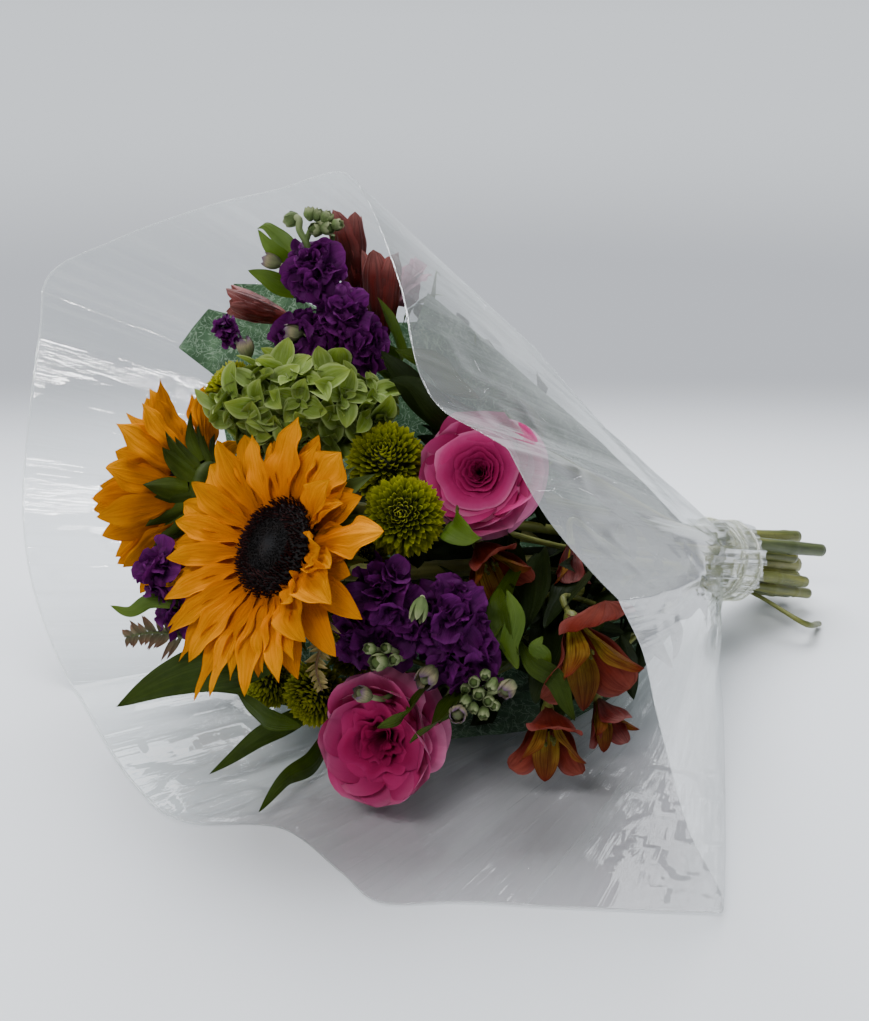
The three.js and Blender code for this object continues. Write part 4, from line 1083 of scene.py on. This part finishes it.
def round_stem(line, radius, seed, count=90, cut=True, material=0):
    """A stem of slightly changing thickness along its line, a little thicker where leaves were stripped off."""
    path = evenly(line, count)
    share = np.linspace(0, 1, count)
    knots = np.exp(-(((share * 7 + seed * 0.37) % 1.0 - 0.5) ** 2) / 0.002)
    width = radius * (0.98 + 0.06 * wander(share * 9, share * 0, seed) + 0.12 * knots)
    if cut:
        width = width * (1 + 0.32 * smooth(0.34 - share, 0, 0.14))
    return tube(path, width, 14, (seed * 0.618) % 1.0, cut, material)


STEM_PATHS = {}
# Each single stem: its ring and clock angle in the tie, radius and length behind it, the flower's place and
# way, and how far behind the flower it ends.
SINGLE_STEMS = (
    ("sunflower_front_stem", ("heart", 0), 4.7, 104, FRONT_SUN_AT, [0.03, -0.83, 0.55], 16, STEM_THICK),
    ("sunflower_left_stem", ("inner", 205), 4.23, 98, LEFT_SUN_AT, [-0.77, -0.63, -0.1], 16, STEM_THICK),
    ("rose_right_stem", ("film", 62), 3.4, 106, [12, -33, 148], [0.57, -0.63, 0.53], 28, STEM_DARK),
    ("rose_low_stem", ("tissue", 296), 3.4, 100, [47, -110, 38], [0.61, -0.78, 0.14], 28, STEM_DARK),
    ("rose_back_stem", ("tissue", 143), 3.4, 94, [-120, -4, 213], [-0.4, -0.5, 0.77], 18.5, STEM_DARK),
    ("bract_cluster_stem", ("inner", 140), 2.9, 94, BRACTS_AT, None, 36, STEM_GREEN),
    ("stock_top_stem", ("tissue", 118), 3.2, 103, STOCK_TOP[2], None, 15, STEM_GREEN),
    ("stock_left_stem", ("tissue", 214), 3.2, 95, STOCK_LEFT[1], None, 13, STEM_GREEN),
    ("stock_front_stem", ("inner", 325), 3.2, 100, STOCK_FRONT[4], None, 21.6, STEM_GREEN),
)
for index, (name, slot, radius, cut, at, faces, behind, green) in enumerate(SINGLE_STEMS):
    at = np.asarray(at, float)
    if faces is None:
        faces = unit(at - bundle_point(ring_of(slot[0], radius), slot[1], 8))
    line = stem_line(slot, radius, cut, at - unit(faces) * (behind - 3), faces)
    STEM_PATHS[name.removesuffix("_stem")] = line
    piece(f"{name}_skin", [round_stem(line, radius, 600 + index)], [green], [name])

# Each forked stem: ring and clock angle, radius and length behind the tie, its fork, its branches' radius, how
# long they run straight into a flower and how far behind it they end, and its flowers.
SPRAYS = (
    ("chrysanthemum_upper", ("inner", 62), 2.8, 92, [-11, -18, 111], 1.5, 6, 11,
     [BUTTONS[k] for k in ("upper", "middle", "inner")], STEM_GREEN),
    ("chrysanthemum_left", ("tissue", 190), 2.8, 102, [-88, 2, 116], 1.5, 6, 11,
     [BUTTONS[k] for k in ("top_left", "far_left", "top")], STEM_GREEN),
    ("chrysanthemum_low", ("inner", 262), 2.8, 96, [4, -44, 32], 1.5, 6, 11,
     [BUTTONS[k] for k in ("low_left", "low", "low_inner")], STEM_GREEN),
    ("alstroemeria_top", ("tissue", 167), 2.9, 100, [-74, 30, 140], 1.6, 12, 23, list(CLOSED_LILIES.values()),
     STEM_DARK),
    ("alstroemeria_low", ("film", 330), 2.9, 105, [36, 66, 48], 1.6, 12, 20,
     [LILIES[k] for k in ("large", "low", "under")], STEM_GREEN),
    ("alstroemeria_middle", ("film", 358), 2.9, 90, [20, 64, 78], 1.6, 12, 20,
     [LILIES[k] for k in ("middle", "right")], STEM_GREEN),
)
for index, (name, slot, radius, cut, fork, branch, bend, behind, heads, green) in enumerate(SPRAYS):
    tied, fork = held(*slot, radius, cut), np.asarray(fork, float)
    grids = [round_stem([*tied, (tied[-1] + fork) / 2, fork], radius, 620 + index)]
    STEM_PATHS[name] = [*tied, (tied[-1] + fork) / 2, fork, (fork + np.asarray(heads[0][0], float)) / 2]
    for j, (at, faces, size) in enumerate(heads):
        faces = unit(faces)
        end = np.asarray(at, float) - faces * (behind * size - 3)
        turn_in = end - faces * bend
        root = fork + unit(tied[-1] - fork) * 3
        line = [root, fork, (fork + turn_in) / 2, turn_in, end]
        grids.append(round_stem(line, branch, 640 + 5 * index + j, 60, False))
    piece(f"{name}_stem_skin", grids, [green], [f"{name}_stem"])

# ---- the film's outline ----

FILM_RIM = places("""
    -158 -22 278, -194 -51 264, -234 -83 251, -272 -130 232, -292 -166 212, -280 -181 179, -256 -200 128,
    -226 -216 80, -193 -222 46, -161 -221 20, -133 -216 0, -38 -209 0, 3 -197 0, 32 -157 0, 71 -145 0,
    93 -139 0, 112 -108 0, 141 -66 0, 174 -17 0, 164 -31 44, 146 -36 89, 129 -35 117, 112 -44 138,
    84 -52 164, 50 -63 188, 20 -70 203, -45 -48 230, -120 -26 264
""")


def clock_of(points):
    """The angle of each point round the bunch's axis."""
    away = points - TIE
    return np.arctan2(away @ OVER, away @ ACROSS)


def kept_inside(points):
    """Points pulled in towards the bunch's axis where they would pass the film's straight line from neck to
    rim, and kept above the floor."""
    edge = curve(FILM_RIM, np.linspace(0, 1, 400), closed=True)
    clock = clock_of(edge)
    far, away = edge - TIE, points - TIE
    along, x, y = away @ AXIS, away @ ACROSS, away @ OVER
    at = np.arctan2(y, x)
    wide = np.interp(at, clock, np.hypot(far @ ACROSS, far @ OVER), period=2 * np.pi)
    reach = np.interp(at, clock, far @ AXIS, period=2 * np.pi)
    most = 19 + (wide - 22) * np.clip(along / reach, 0, 1)
    pull = np.minimum(1, most / np.maximum(np.hypot(x, y), 1e-6))
    inner = TIE + along[..., None] * AXIS + (x * pull)[..., None] * ACROSS + (y * pull)[..., None] * OVER
    inner[..., 2] = np.maximum(inner[..., 2], 3.0)
    return inner


# ---- leaves ----


def leaf_along(points, width, side, peak, fold, wave, waves, taper, seed, grid, tone):
    """A leaf carried on a line: half its width at a share s is width / 2 * sin(pi s^e)^taper, folded upwards
    along the midrib by fold times the distance across, with waves along its edges and veins as low ribs."""
    line = evenly(points, grid[0])
    way = unit(np.gradient(line, axis=0))
    side = np.asarray(side, float)
    across = unit(side - way * (way @ side)[:, None])
    normal = np.cross(way, across)
    s, t = np.linspace(0, 1, grid[0])[:, None], np.linspace(-1, 1, grid[1])[None, :]
    power = math.log(0.5) / math.log(peak)
    half = width / 2 * np.maximum(np.sin(np.pi * s**power), 0) ** taper + 0.5 * (1 - s)
    edge = np.abs(t) ** 1.5 * np.sin(waves * 2 * np.pi * s + seed + np.sign(t))
    lift = half * fold * np.abs(t) + width * wave * edge
    lift = lift + width * 0.012 * np.sin(np.abs(t) * 3 * np.pi)
    points = line[:, None] + (half * t)[..., None] * across[:, None] + lift[..., None] * normal[:, None]
    return grid_of(points[None], np.broadcast_to(s, grid)[None], np.broadcast_to(t, grid)[None], tone)


FOLIAGE_END = np.array([-14.0, -112.0, 26.0])
foliage_line = stem_line(("tissue", 262), 2.2, 88, FOLIAGE_END, [0, -1, 0])
STEM_PATHS["foliage"] = foliage_line
piece("foliage_stem_skin", [round_stem(foliage_line, 2.2, 661)], [STEM_DARK], ["foliage_stem"])
# Each leaf: the line of its midrib, its width and side, where it is widest, its fold and its green.
LEAVES = (
    ("left_large", "-17 -108 25, -32 -126 31, -44 -140 38, -58 -157 39, -69 -179 32, -77 -204 20", 27, CAMERA_UP,
     0.45, 0.3, LEAF_DARK),
    ("low_left", "-14 -112.5 25, -8 -132 27, -8 -150 24, -10 -165 16, -14 -176 8", 11, CAMERA_UP, 0.35, 0.35,
     LEAF_DARK),
    ("low_front", "-11 -104 25, 0 -116 18, 11 -130 13, 17 -147 15, 22 -164 6", 12, CAMERA_UP, 0.45, 0.3,
     LEAF_DARK),
    ("top", "-116 -69 234, -124 -72 242, -132 -75 247, -140 -78 251, -146 -80 249", 9, [0.3, 0.5, 0.8], 0.4, 0.4,
     LEAF_MID),
)
for index, (label, line, width, side, peak, fold, green) in enumerate(LEAVES):
    blade = leaf_along(places(line), width, side, peak, fold, wave=0.04, waves=1.7, taper=0.85, seed=index,
                       grid=(41, 13), tone=0.3 + 0.15 * index)
    piece(f"leaf_{label}_blade", [blade], [green], [f"leaf_{label}"])


def stem_leaves(line, shares, length, width, lean, seed):
    """Leaves that grow from a stem at these shares of its path, each a third of a turn and more round it from
    the last. A leaf sets off between the stem's own way and straight out from it, and bends back a little."""
    draw = np.random.default_rng(seed)
    path = evenly(line, 200)
    way = unit(np.gradient(path, axis=0))
    at = np.clip((np.asarray(shares) * 199).astype(int), 0, 199)
    side = unit(np.cross(way[at], [0.1, 0.2, 0.97]))
    other = np.cross(way[at], side)
    turn = np.radians(np.arange(len(at)) * GOLDEN + draw.uniform(0, 360))[:, None]
    out = np.cos(turn) * side + np.sin(turn) * other
    return blades(
        path[at], way[at] * (1 - lean) + out * lean, out, length * draw.uniform(0.7, 1.15, len(at)),
        width * draw.uniform(0.8, 1.15, len(at)), bend=0.1, curl=draw.uniform(-1.1, 0.2, len(at)), peak=0.45,
        taper=0.85, stalk=0.12, cup=0.1, fold=0.35, twist=draw.uniform(-0.6, 0.6, len(at)), wave=0.05, waves=2.0,
        ribs=0.012, grid=(15, 7), seed=seed,
    )


# Leafy stems: shares of the path where the leaves start and end, their number, size and lean.
# Most of these leaves wear the near-black green that is painted shade between the flowers.
LEAFY = {
    "sunflower_front": (0.62, 0.93, 7, 52, 30, 0.6, LEAF_SHADE_GREEN),
    "sunflower_left": (0.62, 0.92, 7, 52, 30, 0.6, LEAF_SHADE_GREEN),
    "rose_right": (0.82, 0.95, 5, 34, 20, 0.5, LEAF_SHADE_GREEN), "rose_low": (0.6, 0.93, 10, 40, 22, 0.55, LEAF_SHADE_GREEN),
    "rose_back": (0.65, 0.93, 8, 38, 20, 0.5, LEAF_SHADE_GREEN), "bract_cluster": (0.6, 0.9, 8, 40, 12, 0.5, LEAF_SHADE_GREEN),
    "stock_top": (0.6, 0.98, 12, 40, 11, 0.5, LEAF_MID), "stock_left": (0.6, 0.96, 10, 36, 10, 0.5, LEAF_SHADE_GREEN),
    "stock_front": (0.6, 0.98, 16, 34, 9, 0.6, LEAF_SHADE_GREEN),
    "chrysanthemum_upper": (0.6, 1.0, 9, 38, 18, 0.6, LEAF_SHADE_GREEN),
    "chrysanthemum_left": (0.6, 1.0, 9, 38, 18, 0.6, LEAF_SHADE_GREEN),
    "chrysanthemum_low": (0.55, 1.0, 10, 38, 18, 0.6, LEAF_SHADE_GREEN),
    "alstroemeria_top": (0.6, 1.0, 10, 50, 12, 0.5, LEAF_MID),
    "alstroemeria_low": (0.5, 1.0, 22, 44, 10, 0.55, LEAF_SHADE_GREEN),
    "alstroemeria_middle": (0.5, 1.0, 22, 44, 10, 0.55, LEAF_SHADE_GREEN),
    "foliage": (0.6, 0.97, 10, 36, 12, 0.6, LEAF_SHADE_GREEN),
}
for index, (label, (first, last, count, length, width, lean, green)) in enumerate(LEAFY.items()):
    leaves = stem_leaves(STEM_PATHS[label], np.linspace(first, last, count), length, width, lean, 700 + index)
    leaves["points"] = kept_inside(leaves["points"])
    piece(f"{label}_leaves", [leaves], [green])

# Leaves that show from the front: the line from stem to tip, width, side and green.
SHOWN = (
    ("beside_rose_a", "-31 -22 150, -37 -37 170, -41 -49 188, -49 -56 199", 15, [0.5, 0.8, 0.3], LEAF_SHADE_GREEN),
    ("beside_rose_b", "-25 -17 146, -15 -41 172, -21 -54 188, -28 -63 190", 15, [0.6, 0.7, 0.3], LEAF_SHADE_GREEN),
    ("beside_rose_c", "-8 -23 179, -14 -36 187, -26 -40 195, -42 -51 200", 13, [0.5, 0.4, 0.8], LEAF_DARK),
    ("over_low_rose_a", "38 -64 72, 57 -93 70, 62 -107 64, 58 -118 60", 14, [0.3, 0.5, 0.8], LEAF_DARK),
    ("over_low_rose_b", "50 -60 66, 66 -82 66, 69 -94 60, 66 -106 52", 18, [0.4, 0.6, 0.7], LEAF_DARK),
    ("over_low_rose_c", "52 -45 66, 66 -69 66, 68 -80 62, 66 -91 57", 18, [0.3, 0.6, 0.7], LEAF_DARK),
    ("between_a", "70 -51 75, 67 -54 87, 64 -49 99, 55 -48 109", 9, [0.6, 0.8, 0.3], LEAF_MID),
    ("between_b", "60 -43 83, 72 -43 76, 82 -38 72, 90 -37 62, 95 -36 56", 10, CAMERA_UP, LEAF_DARK),
    ("between_c", "44 -44 103, 55 -52 98, 64 -54 88, 70 -50 82", 11, [0.6, 0.6, 0.5], LEAF_DARK),
    ("between_e", "76 -38 74, 75 -41 82, 72 -43 85, 71 -38 89", 7, [0.6, 0.8, 0.2], LEAF_MID),
    # These five wide leaves stand behind the flowers in near-black green: painted shade in the gaps between them.
    ("shade_fill_a", "12 2 96, 30 -14 98, 44 -26 90, 54 -36 80", 26, [0.3, 0.7, 0.6], LEAF_SHADE_GREEN),
    ("shade_fill_b", "30 30 84, 40 10 92, 48 -6 88, 52 -22 78", 26, [0.5, 0.6, 0.6], LEAF_SHADE_GREEN),
    ("shade_fill_c", "24 10 70, 44 -8 76, 60 -24 66, 70 -40 52", 26, [0.5, 0.6, 0.6], LEAF_SHADE_GREEN),
    ("shade_fill_d", "38 44 74, 48 26 82, 58 8 80, 64 -8 68", 24, [0.5, 0.6, 0.6], LEAF_SHADE_GREEN),
    ("shade_fill_e", "40 20 50, 56 0 56, 68 -20 48, 76 -40 36", 26, [0.5, 0.6, 0.6], LEAF_SHADE_GREEN),
    ("between_d", "30 -22 106, 47 -44 98, 57 -57 90, 60 -67 82", 14, [0.5, 0.6, 0.5], LEAF_DARK),
    ("by_stock", "-56 -166 80, -60 -183 86, -62 -193 82, -66 -201 86", 7, [-0.3, 0.2, 0.9], LEAF_MID),
    ("low_back", "22 -140 46, 21 -155 55, 12 -159 58, 2 -163 62", 9, [-0.2, 0.3, 0.9], LEAF_DARK),
    ("low_middle", "2 -138 70, -2 -159 69, -7 -170 66, -10 -179 60", 14, [-0.3, 0.2, 0.9], LEAF_DARK),
    ("by_buds_a", "-118 -60 222, -123 -74 234, -124 -82 242, -129 -86 251", 9, [0.5, 0.8, 0.3], LEAF_MID),
    ("by_buds_b", "-114 -62 216, -118 -79 222, -120 -87 227, -124 -95 231", 11, [0.2, 0.4, 0.9], LEAF_MID),
    ("by_rose", "16 -52 130, 34 -63 136, 41 -60 133, 44 -55 132", 16, [0.4, 0.3, 0.8], LEAF_MID),
)
for index, (label, line, width, side, green) in enumerate(SHOWN):
    blade = leaf_along(places(line), width, side, peak=0.5, fold=0.3, wave=0.05, waves=1.6, taper=0.8, seed=index,
                       grid=(33, 11), tone=0.2 + 0.7 * (index * 0.618 % 1.0))
    piece(f"leaf_{label}", [blade], [green])

# ---- needle sprig and loose stem ----


def sprig(points, longest, count, width, seed):
    """A thin twig with narrow flat needles in two rows that shorten towards its tip and lean forwards."""
    draw = np.random.default_rng(seed)
    line = evenly(points, count + 2)
    way = unit(np.gradient(line, axis=0))[1:-1]
    side = unit(np.cross(way, CAMERA_BACK))
    grids = [tube(evenly(points, 24), np.linspace(1.2, 0.5, 24), 8, material=1)]
    for row in (1.0, -1.0):
        out = way * 0.75 + row * side + draw.normal(0, 0.16, way.shape)
        length = np.linspace(longest, longest * 0.45, count) * draw.uniform(0.75, 1.15, count)
        grids.append(blades(
            line[1:-1], out, CAMERA_BACK, length, width, bend=0.1, curl=draw.uniform(-0.6, 0.5, count), peak=0.35,
            taper=0.9, stalk=0.5, cup=0.3, fold=0.4, grid=(9, 5), seed=seed + int(row),
        ))
    return grids


needle_base = np.array([-60.0, -167.0, 60.0])
needle_way = unit(np.array([-76.0, -180.0, 57.0]) - needle_base)
needle_line = stem_line(("tissue", 238), 1.5, 84, needle_base, needle_way)
needle_points = needle_base + np.outer([0, 18, 40], needle_way) + places("0 0 0, 0 0 2, 0 0 -2")
needles = [round_stem(needle_line, 1.5, 671, material=1), *sprig(needle_points, 15, 12, 3.0, 9)]
piece("needle_sprig_leaves", needles, [NEEDLE, STEM_DARK], ["needle_sprig"])
dry_points = places("22 -122 99, 29 -130 92, 33 -135 83, 38 -135 74")
piece("dry_sprig", sprig(dry_points, 9, 13, 1.9, 15), [DRY_LEAF, STEM_BROWN])
stray = ring_of("film", 1.4)
loose_line = [bundle_point(stray, 313, 8), bundle_point(stray, 313, -25), bundle_point(stray, 313, -50),
              np.array([46.0, 188.0, 14.0]), np.array([39.0, 214.0, 1.9])]
piece("loose_stem_skin", [round_stem(loose_line[::-1], 1.4, 681)], [STEM_GREEN], ["loose_stem"])

# ---- tissue ----

TISSUE_NECK = 21.5
TISSUE_RIM = places("""
    -57 -42 188, -84 -8 222, -130 24 190, -165 -18 186, -190 -55 210, -204 -76 210, -196 -80 192,
    -208 -92 195, -203 -115 175, -190 -98 158, -180 -98 112, -128 -134 68, -62 -140 22, -14 -104 10,
    26 -62 9, 50 -4 9, 48 40 14
""")


def tissue_sheet(columns=340, rows=110):
    """The green tissue: straight lines from a circle in the tie to its cut edge, bowed a little outwards, with
    ridged creases that run out from the tie and fade towards the edge."""
    u = np.linspace(0, len(TISSUE_RIM) - 1, columns)
    i = np.minimum(u.astype(int), len(TISSUE_RIM) - 2)
    edge = TISSUE_RIM[i] + (TISSUE_RIM[i + 1] - TISSUE_RIM[i]) * (u - i)[:, None]
    clock = np.unwrap(clock_of(edge))
    out = np.cos(clock)[:, None] * ACROSS + np.sin(clock)[:, None] * OVER
    v = np.linspace(-0.08, 1, rows)
    row = np.clip(v, 0, 1)[None, :, None]
    start = TIE + out[:, None] * TISSUE_NECK + AXIS * (np.minimum(v, 0)[None, :, None] * 100)
    points = start * (1 - row) + edge[:, None] * row
    share = row[..., 0]
    turns = clock[:, None] / (2 * np.pi)
    crease = 1 - 2 * np.abs(wander(turns * 34, share * 1.5, 21))
    crease = crease + 0.6 * (1 - 2 * np.abs(wander(turns * 71, share * 3, 22)))
    soft = wander(turns * 9, share * 2, 23)
    push = 12 * share * (1 - share) + 2.2 * crease * smooth(share, 0, 0.2) * (1 - 0.5 * share) + 3 * soft * share
    fold = wander(turns * 60 + share * 14, share * 9, 24)
    points = points + out[:, None] * (push - 3 + 0.5 * fold)[..., None]
    points[..., 2] = np.maximum(points[..., 2], 1.2)
    return grid_of(points[None], share[None], (turns * 2)[None], 0.5)


tissue = piece("tissue_sheet", [tissue_sheet()], [TISSUE_GREEN], ["tissue_wrap"])

# ---- clear film ----

# The film's radius at the neck, the length of its tail, how far its lower wall sags and how far it bows out;
# then the radii of the tape's band and cords.
FILM_NECK, FILM_TAIL, FILM_SAG, FILM_BOW = 23.6, 38.0, 13.0, 9.0
BAND_RADIUS, CORD_RADIUS = 24.6, 25.2


def film_cone(columns=560, rows=170):
    """The clear film: straight lines from a circle at the tie to the free edge, bowed outwards and sagging to
    the floor below, with a gathered tail behind the tie. Ridged noise makes creases that start at the tie
    and long facets between them; the gathers are strongest near the tie. tone holds how creased and milky it is:
    most on its cut edge, where it is partly a painted highlight, and a little on the whole front panel, as a
    painted reflection."""
    u = np.linspace(0, 1, columns, endpoint=False)
    edge = curve(FILM_RIM, u, closed=True)
    clock = clock_of(edge)
    out = np.cos(clock)[:, None] * ACROSS + np.sin(clock)[:, None] * OVER
    tail = 0.16
    v = np.append(np.linspace(-tail, 0.9955, rows - 1), 1.0)
    row = np.maximum(v, 0)[None, :]
    back = np.minimum(v, 0)[None, :] / tail * FILM_TAIL
    ring = FILM_NECK * (1 + 0.12 * smooth(-back, 30, 60))
    start = TIE + out[:, None] * ring[..., None] + AXIS * back[..., None]
    points = start * (1 - row[..., None]) + edge[:, None] * row[..., None]
    hump = 4 * row * (1 - row)
    low = smooth(60 - edge[:, 2], 0, 60)[:, None]
    points = points + out[:, None] * (FILM_BOW * hump)[..., None]
    points[..., 2] = points[..., 2] - low * FILM_SAG * hump
    turns = u[:, None] * np.ones_like(row)
    ridge = lambda x, y, seed, period: 1 - 2 * np.abs(wander(x, y, seed, period))
    facets = ridge(turns * 16, row * 1.1, 31, 16)
    pleats = ridge(turns * 44, row * 0.9 - 0.4 * back / 50, 32, 44)
    gather = ridge(turns * 64, row * 1.6 + back / 25, 33, 64)
    crinkle = ridge(turns * 110, row * 12, 34, 110) * smooth(wander(turns * 14, row * 5, 35, 14), -0.1, 0.6)
    near_neck = np.exp(-row / 0.16)
    push = (5.0 * facets * smooth(row, 0.05, 0.5) + 3.0 * pleats * np.exp(-((row - 0.25) / 0.35) ** 2)
            + 1.6 * (gather - 0.2) * near_neck + 0.45 * crinkle * smooth(row, 0.1, 0.4))
    floor_calm = 1 - 0.75 * low * smooth(row, 0.25, 0.6)
    points = points + out[:, None] * (push * floor_calm)[..., None]
    points[..., 2] = np.maximum(points[..., 2], 0.4 + 0.8 * (crinkle > 0.4) * low * row)
    creased = 0.5 * smooth(pleats, 0.72, 0.98) * (1 - 0.6 * row) + 0.5 * smooth(gather, 0.5, 0.95) * near_neck
    creased = creased + 0.35 * smooth(facets, 0.86, 0.99) + 0.25 * smooth(crinkle, 0.6, 0.95)
    # The milky cut edge is partly a painted highlight; the front panel's extra milkiness is a painted reflection.
    rim = smooth(row, 0.996, 1.0)
    panel = smooth(turns, 0.64, 0.7) * smooth(1 - turns, 0.0, 0.05) * smooth(row, 0.12, 0.3)
    tone = np.clip(np.clip(creased, 0, 1) * (0.55 - 0.45 * near_neck) + rim + 0.13 * panel, 0, 1)
    grid = grid_of(points[None], (row * np.ones_like(turns))[None], (turns * 2 - 1)[None], tone[None])
    grid["points"] = np.swapaxes(grid["points"], 1, 2)
    grid["values"] = [np.swapaxes(value, 1, 2) for value in grid["values"]]
    return {**grid, "wrap": True}


film = piece("film_cone", [film_cone()], [CLEAR_FILM], ["film_wrapper"])


def tape_band():
    """The clear tape: a band round the neck with small wrinkles, and a few turns of it twisted into cords."""
    start, end = -36, -8
    t, a = np.arange(160)[None, :] / 160, np.linspace(start, end, 16)[:, None]
    wrinkle = 0.5 * wander(t * 40, a * 0.3, 51, 40) + 0.4 * wander(t * 13, a * 0.12, 52, 13)
    out = np.cos(t * 2 * np.pi)[..., None] * ACROSS + np.sin(t * 2 * np.pi)[..., None] * OVER
    points = TIE + AXIS * a[..., None] + out * (BAND_RADIUS + wrinkle)[..., None]
    along, across = (a - start) / (end - start) * np.ones_like(t), t * 2 - 1 + 0 * a
    milky = 0.08 + 0.3 * np.maximum(wrinkle, 0)
    band = grid_of(points[None], along[None], across[None], milky[None], wrap=True)
    cords = []
    q = np.linspace(0, 2 * np.pi, 120)
    ring = np.cos(q)[:, None] * ACROSS + np.sin(q)[:, None] * OVER
    for i, (place, slant) in enumerate(((-34, 3), (-28, -4), (-23, 5), (-18, -3), (-13, 2))):
        shift = place + slant * np.sin(q + i) + 1.5 * wander(q * 2, q * 0, 60 + i)
        path = TIE + AXIS * shift[:, None] + ring * (CORD_RADIUS + 0.5 * np.sin(5 * q + i))[:, None]
        cords.append(tube(path, 0.7, 7, 0.5))
    return [band, *cords]


piece("neck_tape", tape_band(), [CLEAR_TAPE], ["tie_tape"])

# ---- studio ----


def floor_disc(radius, height, rings=24, sides=64):
    """A wide flat floor: rings of points about the origin, closed at the middle."""
    ring = np.linspace(0, 1, rings)[:, None] ** 2 * radius
    turn = np.arange(sides)[None, :] / sides * 2 * np.pi
    points = np.stack([ring * np.cos(turn), ring * np.sin(turn), np.full((rings, sides), height)], -1)
    quads = faces_between(np.arange(rings * sides).reshape(1, rings, sides))
    mesh = bpy.data.meshes.new("floor")
    mesh.from_pydata(points.reshape(-1, 3), [], quads.tolist())
    return put_in("floor", mesh)


def floor_stuff():
    """Plain floor: pale and matt round the bunch; behind it, and far out all round, it glows in the tone of a
    studio sweep, a painted light that is no lamp, which far away is the tone of the air, so that no horizon shows.
    The glow's tone goes by one over the distance in metres."""
    s = Shade("pale_sweep")
    near = s.stain(colour("e6e9ec"), s.noise(6.0), 0.05, "ccd0d4")
    matt = s.add("BsdfPrincipled", {"Base Color": near, "Roughness": 0.8, "Specular IOR Level": 0.1})
    back = s.add("VectorMath", {0: s.place(), 1: (-0.857, 0.515, 0.0)}, "Value", operation="DOT_PRODUCT")
    reach = s.add("VectorMath", {0: s.place()}, "Value", operation="LENGTH")
    far = s.fade(s.math("DIVIDE", 1.0, reach), 0.7, 0.06)
    # The sweep glows by emission: painted light, no lamp.
    sweep = s.add("Emission", {0: s.mix(far, (*SWEEP, 1.0), (*AIR, 1.0)), 1: 1.0})
    share = s.fade(back, 0.16, 0.62)
    away = s.fade(reach, 1.2, 2.6, kind="LINEAR")
    return s.finish(s.add("MixShader", {0: s.math("MAXIMUM", share, away), 1: matt, 2: sweep}))


# The tones of the glowing studio sweep and of the air, as linear red, green and blue.
SWEEP, AIR = (0.66, 0.69, 0.75), (0.93, 0.98, 1.04)
floor = floor_disc(60.0, -0.0006)
floor.data.materials.append(floor_stuff())


def matrix_of(x, y, z, at):
    """The matrix of an object with these axes at this place."""
    return Matrix([*np.stack([x, y, z, at], -1).tolist(), [0, 0, 0, 1]])


def area_light(name, at, towards, width, height, watts, tint="ffffff"):
    """A soft rectangular light that faces a point."""
    data = bpy.data.lights.new(name, "AREA")
    data.shape, data.size, data.size_y = "RECTANGLE", width, height
    data.energy, data.color = watts, colour(tint)[:3]
    back = unit(np.asarray(at, float) - np.asarray(towards, float))
    side = unit(np.cross([0.0, 0.0, 1.0], back))
    put_in(name, data).matrix_world = matrix_of(side, np.cross(back, side), back, at)


# Each light: its place and the point that it faces, in metres, its width and height, and its watts.
area_light("ceiling_softbox", (-0.6, 0.32, 1.28), (0, 0, 0.1), 1.4, 1.2, 52, "f8faff")
area_light("right_strip", (1.1, 0.1, 1.2), (0, 0, 0.15), 0.5, 0.06, 2.5)
area_light("front_tube_1", (0.39, -0.82, 1.07), (-0.2, -0.15, 0.12), 0.6, 0.02, 4.5)
area_light("front_tube_2", (0.49, -0.92, 1.07), (-0.2, -0.15, 0.12), 0.6, 0.02, 4.5)

# The air is bright near the ground and dimmer overhead.
world = bpy.data.worlds.new("studio_air")
bpy.context.scene.world = world
world.use_nodes = True
air = world.node_tree
height = air.nodes.new("ShaderNodeSeparateXYZ")
air.links.new(air.nodes.new("ShaderNodeTexCoord").outputs["Generated"], height.inputs[0])
fall = air.nodes.new("ShaderNodeMapRange")
air.links.new(height.outputs[2], fall.inputs[0])
for name, value in (("From Min", 0.06), ("From Max", 0.38), ("To Min", 1.0), ("To Max", 0.26)):
    fall.inputs[name].default_value = value
air.links.new(fall.outputs[0], air.nodes["Background"].inputs[1])
air.nodes["Background"].inputs[0].default_value = (*AIR, 1.0)

camera = bpy.data.cameras.new("camera")
camera.lens, camera.sensor_width, camera.clip_end = 33.5, 36.0, 50.0
viewer = put_in("camera", camera)
viewer.matrix_world = matrix_of(CAMERA_RIGHT, CAMERA_UP, CAMERA_BACK, (CAMERA_AT + FLOOR_CENTRE) * MM)
bpy.context.scene.camera = viewer
